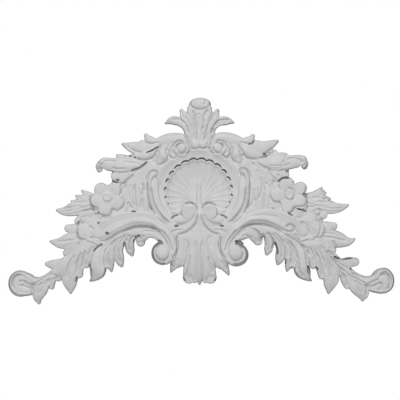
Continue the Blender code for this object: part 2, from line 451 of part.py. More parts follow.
def long_leaf(relief):
    """The stem that runs out to the end scroll, and the leaf tips that hang from it."""
    bed = [(-100, -44), (-112, -40), (-123, -46), (-134, -57), (-146, -68), (-152, -74), (-146, -77),
           (-136, -78), (-126, -74), (-118, -70), (-112, -64), (-108, -58)]
    plates_on_both(relief, bed, STEM_BED)
    tips = (
        [(-152, -79, 4, 13.5), (-157.0, -85.5, 6.6, 14), (-160.6, -92, 7.1, 13), (-161.8, -98.0, 4.8, 11.5),
         (-160.9, -102.8, 1.6, 9)],
        [(-147.0, -76.4, 3.4, 13.5), (-148.2, -82, 3.8, 13), (-148.2, -86.8, 2.7, 11.5)],
        [(-133, -62, 5.6, 15.5), (-137.4, -69, 6.6, 15.5), (-140.8, -74.6, 5.4, 14),
         (-141.6, -77.6, 3.8, 12.5)],
        [(-122.6, -54, 5.0, 16), (-127.0, -65, 6.0, 15.5), (-130.0, -77, 8.2, 14), (-129.6, -86, 5.8, 12),
         (-129.3, -92.6, 1.4, 9.5)],
        [(-116.6, -50, 4.4, 15.5), (-120.2, -62, 4.4, 15), (-120.6, -74.4, 3.7, 12.5)],
        [(-110, -47, 4.6, 15.5), (-113.4, -57, 4.4, 15), (-114.0, -64.4, 3.8, 12.5)],
    )
    for tip in tips:
        on_both(relief, tip, crown=1.3, foot=4)
    single_tips = (
        [(-90.6, -58, 4.8, 15.5), (-92.2, -64.8, 3.8, 13)],
        [(150, -78, 5.0, 13.5), (153.8, -86, 5.2, 13), (157.8, -91.6, 4.6, 12), (161.2, -96.6, 2.6, 10)],
        [(143.8, -73, 3.6, 14), (144.8, -79.8, 4.1, 13), (147.2, -85.6, 3.4, 11.5)],
        [(130, -78, 6.6, 14), (129, -86, 4.7, 12), (128.4, -91.8, 1.6, 9.5)],
        [(118, -60, 4.4, 15), (121, -70, 4.4, 13.5), (122, -75.8, 3.6, 12)],
        [(111, -57, 4.4, 15), (113.4, -65, 3.9, 12.5)],
        [(90, -58, 4.8, 15.5), (91.4, -64.8, 3.8, 13)],
    )
    for tip in single_tips:
        relief.stroke(tip, crown=1.3, foot=4)
    on_both(relief, [(-97.6, -46, 3.8, 15), (-101.2, -53, 6.0, 17), (-102.4, -61, 7.4, 17.5),
                     (-102.2, -70, 8.3, 16.5), (-104.6, -75.4, 6.2, 14), (-107.4, -79.2, 2.6, 11.5),
                     (-109.4, -80.6, 1.0, 9)], crown=1.6, wall=9)
    on_both(relief, [(-104, -42, 5, 16), (-114, -46.6, 7.0, 17), (-124, -54.4, 6.6, 17),
                     (-134, -63.4, 5.9, 16.5),
                     (-143, -71.2, 4.6, 15.5), (-152, -77.0, 3.2, 15), (-161, -80.8, 3.0, 15)],
            crown=1.3, foot=11)
    for tip in ([(-131, -61.4, 4.6, 15), (-141, -64.2, 5.1, 14.5), (-149, -64.4, 4.1, 13),
                 (-152.6, -64, 2.5, 11.5)],
                [(131, -60, 4.4, 15), (141, -63.4, 5.2, 14.5), (149, -62.4, 5.4, 13),
                 (155, -61.8, 4.3, 11.5)]):
        relief.stroke(tip, crown=1.0)
    on_both(relief, [(-111, -39.6, 2.4, 17.5), (-105.6, -40.8, 2.6, 17.5), (-100.6, -43.6, 2.2, 16.5)],
            crown=1.0, foot=13)


def end_scroll(relief):
    """The rolled end of the stem. The right one turns up more sharply."""
    for x, z, radius_x, radius_z, height in ((-179.4, -83.6, 12.2, 13.2, 14), (-168.0, -87.6, 6.0, 6.4, 12),
                                             (181.8, -80.4, 11.6, 12.4, 14), (172.4, -85.0, 6.0, 6.2, 12)):
        relief.ball(x, z, radius_x, radius_z, height, dome=1.0, wall=9)
    curls = (
        [(-158, -81.0, 2.4, 15), (-166, -81.0, 3.4, 15.5), (-173, -78.6, 4.8, 15.5),
         (-179, -79.0, 5.4, 15.5),
         (-182.4, -84, 5.4, 15), (-179.4, -88.6, 4.8, 14.5), (-173.0, -90.0, 4.4, 14)],
        [(156, -78.4, 2.8, 15), (164, -80.8, 3.6, 15.5), (171, -80.8, 4.0, 15.5), (178, -78.6, 4.6, 15.5),
         (183.4, -80.6, 5.0, 15.5), (184, -84.6, 4.8, 15), (180, -87.0, 4.4, 14.5), (174, -87.4, 4.0, 14)],
    )
    rims = (
        [(-159, -80.4, 1.6, 15), (-167, -79.8, 1.9, 15.5), (-174, -75.4, 2.2, 16),
         (-180.6, -72.8, 2.2, 16.5),
         (-186.2, -75.6, 2.2, 16.5), (-188.9, -81.8, 2.2, 16.5), (-187.4, -88.6, 2.2, 16.5),
         (-182.6, -92.6, 2.1, 16), (-176, -93.8, 2.1, 15.5), (-169.4, -93.2, 1.9, 14)],
        [(152, -72.6, 1.8, 15), (160, -76.8, 2.0, 15.5), (168, -79.1, 2.0, 15.5), (174.6, -78.0, 2.1, 16),
         (179.8, -73.4, 2.2, 16.5), (183.2, -70.2, 2.2, 16.5), (187, -71.2, 2.3, 16.5),
         (190.6, -75.4, 2.3, 16.5),
         (191.7, -81, 2.3, 16.5), (190.2, -86.8, 2.3, 16.5), (186, -90.4, 2.2, 16),
         (179.6, -91.3, 2.1, 15.5),
         (172, -90.0, 1.8, 14.5), (168.4, -88.8, 1.2, 13)],
    )
    for curl in curls:
        relief.stroke(curl, crown=1.0, foot=12, wall=9)
    for rim in rims:
        relief.stroke(rim, crown=0.9, foot=3, wall=9)


def flower(relief, x, z, petals, height):
    """Broad flat petals round a button. A petal is its direction, its distance and its radius."""
    relief.ball(x, z, 12.0, 11.5, height - 0.8, dome=0.4, foot=9)
    for direction, distance, radius in petals:
        a = np.radians(direction)
        across, up = distance * np.cos(a), distance * np.sin(a)
        stations = [(x + out * across, z + out * up, half * radius, height + rise)
                    for out, half, rise in ((0.3, 0.6, -0.7), (0.65, 0.92, -0.4), (0.9, 1, 0), (1, 1, 0))]
        relief.stroke(stations, crown=0.9, foot=8, veins=((0.0, 0.3, 1.4),))
    relief.ball(x, z, 4.9, 4.9, height + 0.2, dome=0.5, foot=height - 3)
    relief.stroke(arc(x, z, 3.4, 3.4, 0, 360, 0.9, height + 0.6, 13), crown=0.4, foot=height - 1)


def flowers(relief):
    """The open flower on each side, and the half hidden one below it."""
    for x, z, radius, top in ((-114.6, -31, 8.6, 15.6), (-106.4, -22.4, 8.4, 15.4),
    (-100.4, -30, 8.6, 16.6),
                              (-109.4, -34.8, 6.8, 15.6)):
        balls_on_both(relief, x, z, radius, radius * 0.95, top, dome=1.2, foot=9)
    on_both(relief, [(-100, -9.6, 2.6, 13.5), (-108, -12.4, 3.0, 13.6), (-116, -14.2, 2.8, 13),
                     (-121.0, -18.6, 2.6, 12)], crown=1.0)
    on_both(relief, [(-95, -18, 3.6, 16), (-102, -15.4, 3.0, 15.5), (-109.4, -17.6, 2.8, 14.6),
                     (-116, -20, 3.2, 14)], crown=1.0)
    ground_plan = [(-107, -3), (-101, 6), (-92, 12), (-80, 16), (-74, 8), (-72, -9), (-80, -16), (-95, -18),
                   (-105, -13)]
    plates_on_both(relief, ground_plan, FLOWER_BED)
    relief.ball(-122.4, -21.0, 3.2, 3.4, 12.5, dome=1.0)
    relief.ball(124.8, -15.2, 2.6, 3.2, 12, dome=1.0)
    left = ((133, 9.6, 6.7), (46, 10.4, 7.2), (-29, 11.0, 7.6), (-101, 11.6, 7.4), (197, 10.6, 7.5))
    flower(relief, -92.3, 3.2, left, 18.6)
    right = ((105, 10.2, 7.8), (29, 13.0, 6.2), (-36, 13.2, 7.2), (-98, 11.0, 7.0), (180, 12.6, 6.8))
    flower(relief, 89.2, 5.4, right, 18.6)


def outer_leaves(relief):
    """The toothed leaf and the broad leaf at each side. The right ones are fuller."""
    teeth = (
        ((-104, -1), (-112.4, 4.8), (-118.0, 9.4)), ((-112, -2), (-119.6, 1.6), (-124.0, 4.4)),
        ((-118, -5), (-125.0, -3.0), (-128.4, -1.0)), ((-124, -8), (-130.6, -7.2), (-134.4, -7)),
        ((105, 1), (114, 4.8), (121.6, 12.0)), ((110, 1), (118, 4.4), (125.4, 7.2)),
        ((109, 1), (117, 5.6), (123.6, 9.2)),
        ((116, -2), (123.6, 1.2), (129.8, 1.2)), ((124, -5), (131, -4.6), (137, -5.4)),
    )
    for root, middle, tip in teeth:
        relief.stroke([(*root, 5.4, 11.5), (*middle, 3.9, 11), (*tip, 1.0, 8.5)], crown=1.2,
                      veins=((0.0, 0.7, 0.6),), wall=LEAF_WALL if root[0] > 0 else WALL)
    on_both(relief, [(-101, -3, 6.6, 11.5), (-114, -6, 7.6, 12), (-127, -9.6, 6.5, 11.5),
                     (-136, -11.2, 4.4, 10.5), (-142.6, -10.2, 1.5, 9)],
            crown=1.4, veins=((0.1, 1.0, 0.8), (-0.5, 0.6, 0.8), (0.6, 0.5, 0.7)))
    on_both(relief, [(-119, -30.6, 6.4, 12), (-127, -29.6, 6.0, 12), (-131.6, -28.4, 3.9, 11)], crown=1.2)
    on_both(relief, [(-119, -42, 7.0, 12.5), (-128, -47.4, 6.6, 12), (-132.6, -53.0, 4.4, 11)],
            crown=1.2, veins=((0.0, 0.6, 0.9),))
    broad = (
        [(-116, -37, 6.0, 12.5), (-127, -40, 7.4, 12.5), (-138, -42.8, 6.0, 11.5), (-145, -42.4, 3.4, 10.5),
         (-149.4, -41.4, 1.2, 9)],
        [(118, -35, 6.0, 12.5), (129, -37.4, 8.0, 12.5), (138, -39.8, 8.0, 12), (146, -41.5, 5.2, 11),
         (151.4, -40.8, 2.6, 10), (154.4, -39.1, 1.0, 9)],
    )
    for leaf, wall in zip(broad, (WALL, LEAF_WALL)):
        relief.stroke(leaf, crown=1.4, veins=((0.0, 0.7, 0.8), (0.5, 0.4, 0.8)), wall=wall)
    on_both(relief, [(-124, -35, 5.0, 11.8), (-135, -38.2, 3.4, 11)], crown=1.0)


def fill_gaps(relief):
    """Raises the narrow gaps between neighbouring folds to a step below them."""
    cell = relief.x[1] - relief.x[0]
    n = int(round(GAP_REACH / cell))
    rows, columns = relief.height.shape
    disc = [(i, j) for i in range(2 * n + 1) for j in range(2 * n + 1) if np.hypot(i - n, j - n) <= n + 0.3]
    spread = relief.height
    for pick in (np.maximum, np.minimum):
        padded = np.pad(spread, n, mode="edge")
        spread = pick.reduce([padded[i:i + rows, j:j + columns] for i, j in disc])
    px, pz = np.meshgrid(relief.x, relief.z)
    far = np.hypot(px - SHELL_X, pz - SHELL_Z) > SHELL_RADIUS + BESIDE_SHELL
    away_from_shell = far | (pz < SHELL_Z - BELOW_SHELL)
    filled = (relief.height > FILLED_ABOVE) & away_from_shell
    relief.height = np.where(filled, np.maximum(relief.height, spread - GAP_STEP), relief.height)


def carving(cell):
    relief = Relief(cell)
    ground(relief)
    outer_leaves(relief)
    flowers(relief)
    hanging_lobes(relief)
    long_leaf(relief)
    end_scroll(relief)
    husks(relief)
    side_leaves(relief)
    finial(relief)
    shell(relief)
    crest(relief)
    pendant(relief)
    frame_scrolls(relief)
    twin_volutes(relief)
    big_volutes(relief)
    fill_gaps(relief)
    return relief


def front_surface(relief):
    """A grid lifted to the height of the carving, without the cells that stay outside it."""
    columns, rows = len(relief.x), len(relief.z)
    bpy.ops.mesh.primitive_grid_add(x_subdivisions=columns - 1, y_subdivisions=rows - 1, size=1)
    grid = bpy.context.object
    mesh = grid.data
    flat = np.empty(len(mesh.vertices) * 3)
    mesh.vertices.foreach_get("co", flat)
    flat = flat.reshape(-1, 3)
    column = np.rint((flat[:, 0] - flat[:, 0].min()) / np.ptp(flat[:, 0]) * (columns - 1)).astype(int)
    row = np.rint((flat[:, 1] - flat[:, 1].min()) / np.ptp(flat[:, 1]) * (rows - 1)).astype(int)
    height = relief.height[row, column]
    placed = np.stack([relief.x[column] * UNIT, -height * RISE, relief.z[row] * UNIT], axis=1)
    mesh.vertices.foreach_set("co", placed.ravel())
    bm = bmesh.new()
    bm.from_mesh(mesh)
    outside = [f for f in bm.faces if max(-v.co.y for v in f.verts) < 0]
    bmesh.ops.delete(bm, geom=outside, context="FACES")
    bmesh.ops.triangulate(bm, faces=bm.faces)
    bm.to_mesh(mesh)
    bm.free()
    return grid


def thin_out(piece, triangles):
    """Fewer triangles where the carving is plain."""
    modifier = piece.modifiers.new("thin out", "DECIMATE")
    modifier.ratio = min(1.0, triangles / len(piece.data.polygons))
    bpy.context.view_layer.objects.active = piece
    bpy.ops.object.modifier_apply(modifier=modifier.name)


def close_at_back(piece):
    """Cut the carving off at the back plane, and close it there with a flat face."""
    bm = bmesh.new()
    bm.from_mesh(piece.data)
    for v in bm.verts:
        if abs(v.co.y) < CLEAR_OF_BACK:
            v.co.y = CLEAR_OF_BACK
    everything = bm.verts[:] + bm.edges[:] + bm.faces[:]
    bmesh.ops.bisect_plane(bm, geom=everything, dist=SNAP / 10, plane_co=(0, 0, 0), plane_no=(0, 1, 0),
                           clear_outer=True)
    for v in bm.verts:
        if abs(v.co.y) < SNAP:
            v.co.y = 0
    rim = [e for e in bm.edges if e.is_boundary]
    bmesh.ops.triangle_fill(bm, use_beauty=True, edges=rim, normal=(0, 1, 0))
    bmesh.ops.recalc_face_normals(bm, faces=bm.faces)
    bm.to_mesh(piece.data)
    bm.free()


def plaster(name, colour, roughness):
    material = bpy.data.materials.new(name)
    material.use_nodes = True
    shader = material.node_tree.nodes["Principled BSDF"]
    shader.inputs["Base Color"].default_value = (*colour, 1)
    shader.inputs["Roughness"].default_value = roughness
    shader.inputs["Metallic"].default_value = 0.0
    return material


def build():
    for old in list(bpy.data.objects):
        bpy.data.objects.remove(old)
    home = bpy.data.collections.new("scroll_onlay")
    bpy.context.scene.collection.children.link(home)
    relief = carving(CELL)
    piece = front_surface(relief)
    piece.name = piece.data.name = "scroll_onlay"
    thin_out(piece, TRIANGLES)
    close_at_back(piece)
    for holder in list(piece.users_collection):
        holder.objects.unlink(piece)
    home.objects.link(piece)
    piece.data.materials.append(plaster("factory primer", (0.62, 0.62, 0.63), 0.7))
    piece.data.shade_smooth()
    piece.data.set_sharp_from_angle(angle=np.radians(40))
    return piece


build()
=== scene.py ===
"""The scroll onlay as it is photographed: its full carving, its primed surface, light and camera.

The carving is the same height above the back as in the CAD solid, on a finer grid and with the
narrow lines and the deep gaps cut in. Lengths are metres. The front faces -Y, and the back lies at Y = 0.
"""

import bmesh
import bpy
import numpy as np
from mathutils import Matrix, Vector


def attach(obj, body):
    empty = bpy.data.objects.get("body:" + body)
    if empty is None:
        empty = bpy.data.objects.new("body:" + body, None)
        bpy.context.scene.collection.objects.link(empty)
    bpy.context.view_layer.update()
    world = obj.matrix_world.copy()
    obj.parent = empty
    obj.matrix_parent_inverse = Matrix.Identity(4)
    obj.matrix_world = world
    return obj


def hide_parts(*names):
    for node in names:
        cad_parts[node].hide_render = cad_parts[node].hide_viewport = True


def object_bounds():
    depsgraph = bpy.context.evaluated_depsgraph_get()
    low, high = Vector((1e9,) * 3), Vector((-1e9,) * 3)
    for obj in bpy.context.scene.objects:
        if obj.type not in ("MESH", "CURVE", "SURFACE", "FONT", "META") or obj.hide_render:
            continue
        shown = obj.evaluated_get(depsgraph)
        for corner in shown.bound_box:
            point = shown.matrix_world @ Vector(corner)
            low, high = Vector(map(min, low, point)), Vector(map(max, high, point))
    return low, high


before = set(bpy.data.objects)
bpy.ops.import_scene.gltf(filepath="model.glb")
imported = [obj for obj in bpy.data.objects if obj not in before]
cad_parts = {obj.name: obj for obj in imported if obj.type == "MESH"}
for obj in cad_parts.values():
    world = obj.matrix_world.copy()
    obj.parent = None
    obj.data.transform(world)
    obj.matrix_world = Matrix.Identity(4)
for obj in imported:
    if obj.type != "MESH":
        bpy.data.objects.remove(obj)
cad_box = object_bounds()

# Driving dimensions
WIDTH = 0.650
DEPTH = 0.0353
PLATE = 0.0125

# The drawing that the carving is laid out on, in its own units
DRAWING_WIDTH = 386.4
DRAWING_DEPTH = 23.0
DRAWING_LEFT, DRAWING_RIGHT = -196.0, 198.0
DRAWING_BOTTOM, DRAWING_TOP = -108.0, 106.0

# Fineness of the mesh
CELL = 0.5
TRIANGLES = 190000

# The cut at the back: what counts as on the plane, and how near to it a corner may lie
SNAP = 1e-6
CLEAR_OF_BACK = 0.0003

# One unit of the drawing in metres, across and in height, and the top of the flat plate in units
UNIT = WIDTH / DRAWING_WIDTH
RISE = DEPTH / DRAWING_DEPTH
GROUND = PLATE / RISE

# How high the beds lie that the leaves and scrolls stand on
SIDE_BED = 12.0
FINIAL_BED = 14.0
FLOWER_BED = 16.0
CREST_BED = 14.5
TWIN_BED = 17.0
LOBE_BED = 12.5
STEM_BED = 12.0

# Gaps between folds that are narrower than twice the reach are filled to a step below the folds
GAP_REACH, GAP_STEP = 2.5, 2.0
FILLED_ABOVE = 4.0
DISC_MARGIN = 0.3

# The shell, its dish, flutes and scalloped gap, and the frame round it
SHELL_X, SHELL_Z, SHELL_RADIUS = -1.5, 7.5, 34.0
SHELL_HEIGHT = 15.5
LOBE_DEPTH = 3.1
LOBE_ROUND = 3.6
HUB_RIGHT, HUB_DOWN = 0.4, 14.5
DISH_DEPTH, DISH_FALL, DISH_CURVE = 4.5, 1.0, 0.9
LIP_HEIGHT, LIP_PLACE, LIP_WIDTH = 0.9, 1.6, 1.4
FLUTE_ANGLE, FLUTE_SHIFT, FLUTE_DEPTH = 15.6, 2.0, 0.55
FLUTE_BEND, FLUTE_START = 0.62, 10.0
GAP_FLOOR, GAP_WIDTH, GAP_WALL = 3.0, 0.5, 20.0
GAP_TURN, GAP_LEAST, GAP_OPENING = 1.9, 0.1, 1.5
FRAME_HALF, FRAME_UP = 43.5, 1.0
BESIDE_SHELL, BELOW_SHELL = 3.0, 20.0
COVE_FLOOR, COVE_RISE, COVE_WIDTH = 14.0, 2.2, 8.0
SHELL_WINDOW = (-50, 48, -42, 58)

# A petal from its root to its tip: the shares of its length and of its half width, and its rise
PETAL = ((0.3, 0.6, -0.7), (0.65, 0.92, -0.4), (0.9, 1, 0), (1, 1, 0))
HUSK_FOOT = 0.85

# The height outside the carving, the foot and the slope of the walls, how edges are rounded, and
# the share at each end of a stroke over which its veins fade
OUTSIDE = -9.0
FOOT = 2.0
WALL = 32.0
LEAF_WALL = 14.0
RIM = 0.6
FILLET = 1.0
FILLET_DROP = 1.0
VEIN_START, VEIN_STOP = 0.12, 0.15

# How far beside a path or a boss the cells are worked out, and guards against division by zero
MARGIN, WIDE_MARGIN = 3, 4
TINY = 1e-9
THINNEST = 0.1

# The right half is the left half turned over, and then moved by hand as the carver did:
# a place on the left half, and how far its twin lies from the mirrored place
DRIFT = (
    (-34.5, 76.5, -1.2, 0.6), (-20, 91, -1.2, 0.5), (-24, 84, 0.0, -2.2), (-22, 74, -1.0, 1.4),
    (-54.5, 66.8, -1.3, -0.6), (-18.5, 51.5, -0.5, 0.5), (-60, 59.5, 0.0, -0.2), (-78.3, 56, 0.2, 3.3),
    (-82, 46, 0.0, 1.7), (-104, 33, 4.3, 3.0), (-92.3, 3.5, -3.3, 2.0), (-118.5, 10.8, 4.2, 0.8),
    (-124.7, 5.3, 1.3, 1.7), (-143.5, -10, 5.0, 5.0), (-125.5, -16.2, 2.0, 1.9), (-135, -27, 1.8, 2.2),
    (-150.5, -41, 4.8, 2.5), (-136.5, -56, -1.5, 3.5), (-155, -63.5, 4.3, 2.5), (-147, -70, 4.0, 0.5),
    (-191.8, -82, 2.7, 1.0), (-180, -70, 1.0, 3.0), (-175, -96.7, 4.0, 2.7), (-165, -78, -1.0, 2.2),
    (-160.5, -104.5, 1.5, 3.0), (-129.3, -94.4, -0.7, 0.0), (-109.5, -81, 1.3, 0.3),
    (-88.5, -72.3, -1.5, 0.3), (-78.5, -67.3, -0.4, 2.3), (-68, -56.3, -1.0, 0.8),
    (-60, -47.8, -2.0, 1.8), (-37.5, -52.5, -2.0, 0.0), (-48.7, -54, 0.3, -2.0),
    (-28.7, -72.3, -0.2, -3.0), (-10, -84, -0.3, 0.2), (-22.4, -44, -3.2, 0.0), (-24.5, -53, -2.6, 0.0),
    (-12.5, -10.7, -1.5, -0.3), (-52.5, 10, -3.0, 0.0), (-45, 28.5, -3.0, 2.5), (-60, -26.7, 0.0, 3.2),
)
DRIFT_REACH = 4.0
MIDDLE_STRIP = 8.0

# The narrow lines: how high the carving has to be to take one, their strength, and the share at
# each end over which they fade
ENGRAVED_ABOVE = 6.0
CREASE_STRENGTH = 1.4
LINE_FADE = 0.12

# Narrow lines between the folds, here for the left half and used on both.
# A row is depth, width, and then x, z, x, z and so on along the line
CREASES = (
    (1.6, 1, -15.6, 66, -13.6, 62, -11.6, 57.5, -10.2, 53, -10, 49, -12.5, 46.8, -17, 45.6, -21, 46,
     -23, 47.6),
    (1.3, 0.95, -15.6, 56.2, -19.5, 56.2, -22.6, 54.4, -23.9, 51.4, -23.2, 48.6),
    (1, 0.95, -14, 53, -13.8, 50.6, -15, 48.2, -18, 46.9),
    (1.5, 0.95, -16, 57.6, -19.5, 58.7, -23.6, 57.6, -26.6, 54.6, -28.1, 51, -28, 47, -27.2, 44.6),
    (1.1, 0.95, -30.6, 50, -30.8, 45, -29.4, 42.6, -26.6, 41.2, -24.8, 41.8, -23.4, 45),
    (1.3, 0.95, -32.6, 53, -33, 48, -32, 44.4, -32, 41.2, -34, 38.6, -37, 36.4, -40.4, 35.2),
    (1.3, 1.4, -40.5, 49, -42.4, 44.6, -44, 41, -45, 38.4, -46, 36.2),
    (1.2, 1, -39.4, 54, -42, 49.6, -44.4, 45.8, -46.4, 42.8),
    (1, 1, -56, 57.6, -53, 56.7, -50.5, 55.8, -47, 56, -43.5, 57.2, -40, 57.4),
    (1.7, 0.95, -53.4, 18.4, -52.6, 22, -50.9, 25.8, -48.5, 28.3, -46, 29, -43.6, 28.4, -42.6, 26.4,
     -42.8, 24.4, -44.4, 23.4),
    (1.1, 1.1, -52.9, 20, -52.6, 10, -51.6, 3, -50, -3, -48, -9, -45.6, -14, -42, -18.6, -37.6, -22,
     -33.6, -25, -30.8, -28),
    (2.4, 0.95, -48.6, 14, -48.7, 12, -48.3, 6, -47.2, 0, -45.4, -5, -43, -9.6, -40, -13.8, -36.5, -17.8,
     -32.5, -21.4, -29, -24),
    (1, 0.95, -17.6, -6.6, -16, -4.6, -13.5, -3, -10.5, -2.4, -7.6, -3, -5, -5, -3.2, -8.4, -2.6, -14),
    (0.4, 0.95, -8.8, -6.8, -7.6, -9.6, -8.2, -13),
    (1.6, 1, -2.8, -14, -2.8, -20, -4.6, -24.2, -7.4, -27.4, -10.8, -30.2, -14.4, -32.4, -19, -33.8,
     -22.4, -34),
    (0.9, 0.95, -4.8, -13, -6.6, -17.4, -9.6, -20.8, -13.4, -22.8, -18, -23.6, -23, -24.4),
    (1, 0.95, -29, -32.4, -25, -30.8, -21, -29.8, -16, -29.4),
    (1.6, 0.9, -25, -15.8, -21.6, -14.8, -18.4, -14),
    (0.9, 0.95, -23, -26.2, -18, -26.6, -13.6, -25.6),
    (2, 0.95, -22.6, -35, -22.9, -39.5, -22.2, -44, -22.4, -48, -23.6, -52, -25.2, -55.6, -27.8, -59.4),
    (2, 1, -39, -29.6, -35.4, -33.4, -32.2, -38, -30.2, -42, -29, -46, -28, -50, -27.8, -53),
    (0.9, 0.95, -45, -29.8, -40, -33, -36.8, -36.4, -34.2, -40, -32.6, -44),
    (0.8, 0.95, -48, -30.6, -42, -34, -38.6, -37.4, -36.6, -40.4),
    (0.5, 0.95, -30.6, -47, -30.4, -53, -32.4, -57.6, -36, -60.2, -40.4, -60, -43.4, -57, -44.6, -53),
)

# Narrow lines of the left half only
LEFT_CREASES = (
    (1.6, 1, -63, 41.4, -58, 39.8, -54, 40, -50, 41.4, -46.5, 42.4),
    (0.8, 1.2, -74, 55, -69, 51, -64, 48.4, -58, 47),
    (0.8, 1.4, -76, 38, -70, 37, -65, 36.6, -60, 35.4),
    (1, 1, -97, 37.6, -92, 38.8, -87, 38.6, -83, 38),
    (1, 1, -88, 32.4, -84, 31, -79, 30.8, -74, 31.4),
    (1.6, 0.95, -100.4, 38.6, -102, 35.6, -102.6, 32, -102.4, 29.6),
    (1.8, 0.95, -96.6, 37.4, -99, 34.4, -99.6, 31.4, -99.4, 29.2),
    (1.8, 0.95, -66.2, 25.8, -68, 23.6, -70.6, 21.4, -73.4, 19, -75, 17.4, -80, 15.8),
    (1.4, 0.95, -79.6, 14.6, -78.5, 11, -78.8, 8, -80.2, 6.4),
    (1.4, 1, -78.4, 4, -77, 1.4, -75.8, -1.4, -75.8, -4, -77.6, -7, -80.4, -9),
    (1.4, 0.95, -74.2, 15, -75, 13, -76.2, 10.4),
    (1, 0.95, -69, 16, -70, 12, -70.8, 6, -70, -1),
    (1.2, 0.95, -65, 16.6, -65.4, 12, -65, 5, -64.4, -2, -64, -8),
    (1.4, 0.95, -58, 16, -57, 15.4, -56.4, 13, -55.8, 10.4, -57, 8.6),
    (1.2, 0.95, -58.6, 8.4, -58.5, 3, -58.3, 0, -58.8, -5, -59, -9),
    (0.9, 1, -72, -2, -70, -6, -67.4, -9),
    (2.6, 1.1, -100, -43.4, -95, -41.4, -90, -38.6, -85, -35.2, -80, -32.4, -74, -29.8, -70, -28.4,
     -65, -27, -58, -26.4, -50, -27, -46, -28.2, -42, -30, -38, -33),
    (0.8, 0.95, -57, -31.6, -54, -31.2, -50, -31.2, -46, -31.8),
    (1, 0.95, -60, -39.4, -58.4, -37, -56, -35.4),
    (1.8, 0.95, -66, -35, -68.4, -38.4, -70, -42, -70.3, -47, -69.2, -51.4),
    (1.2, 0.95, -70, -34.6, -72.4, -38, -73.6, -42),
    (1.6, 0.95, -72, -33.6, -76, -37.4, -79.4, -42, -81.4, -47.4, -81.4, -53, -80.4, -58.6, -78.8, -64),
    (1, 0.95, -75, -34, -79.6, -38.4, -83, -43.6, -84.8, -49, -85.2, -56, -85.4, -60),
    (1.6, 0.95, -80, -36.4, -84, -40.8, -88, -45.4, -90.8, -50.4, -91.6, -56, -91.2, -62, -90, -67),
    (1.2, 0.95, -83.4, -38.4, -88, -43.4, -92.8, -48.6, -95, -54, -94.8, -61, -94, -67),
    (0.8, 1, -86, -38.4, -91, -42.6, -96.4, -48, -98.4, -55, -98, -64, -97.4, -70),
    (1.2, 1, -119.4, -41.6, -123, -46, -128, -51, -131, -54.4, -135.4, -58),
    (1.4, 0.95, -118, -52, -120.6, -58, -122.4, -64, -122.6, -74),
    (1.2, 0.95, -124, -54, -128.4, -60, -131.4, -66.6, -132, -72, -132.2, -79),
    (1.4, 0.95, -114, -50, -116, -56, -116.8, -62, -118, -68),
    (0.8, 1, -106, -46, -110, -52, -110.6, -60),
    (1.2, 0.95, -170, -84.4, -165, -83.2, -160, -80.9, -155, -77.8, -150, -74.6, -145.6, -71.6),
    (1, 0.95, -150.8, -84, -150.8, -78.6, -148.4, -75.6, -144.8, -75, -143.8, -77.4),
    (0.8, 0.95, -154, -82, -156.8, -88, -160.4, -94),
    (0.8, 0.95, -157.6, -81.6, -161, -87.6, -163.6, -94.6),
    (1.2, 0.95, -166.8, -87, -167.4, -92, -167, -95),
    (1.2, 0.95, -178, -75.6, -181.6, -74.6, -185.2, -76.6, -187, -80.6, -187, -85, -185.4, -89),
    (1.4, 0.95, -181, -81.8, -178, -80.8, -175, -81.4, -172.6, -83.6),
    (0.8, 0.95, -180.6, -84.4, -176, -86, -171, -87.6, -167, -88),
    (1.4, 0.95, -110.6, -37.6, -107, -38, -104.4, -40.2, -102, -42.6),
    (1, 1, -110.4, -25.4, -108.6, -28, -105.4, -29.4),
    (1.2, 0.95, -122.6, -23, -122.8, -28, -122.4, -34, -122.6, -40),
    (1.2, 0.95, -118, -10.8, -113, -10.4, -109, -9.2, -105, -9.8, -102, -11.6),
    (1.2, 0.95, -101.6, -13.4, -105, -14.6, -108.6, -16.6, -110.6, -19),
    (1.2, 0.95, -98.6, -14.6, -95, -15.6, -91, -15.6, -88.8, -12.6, -87.8, -9.4, -84, -9.6),
    (1, 0.95, -97.4, -16, -96.4, -18.6, -93, -18.4, -89, -17),
    (0.9, 0.95, -104.6, 5.8, -107.2, 5.2, -109.4, 2.4, -110, -1.6, -108.4, -5.4, -104.6, -7.4,
     -101.4, -8.8),
    (0.8, 1, -128, -1.6, -121, -2.4, -113, -2),
    (0.8, 1, -138, -9.4, -128, -7, -118, -5.6),
    (0.8, 0.95, -144, -41.6, -136, -41, -128, -39.6),
)

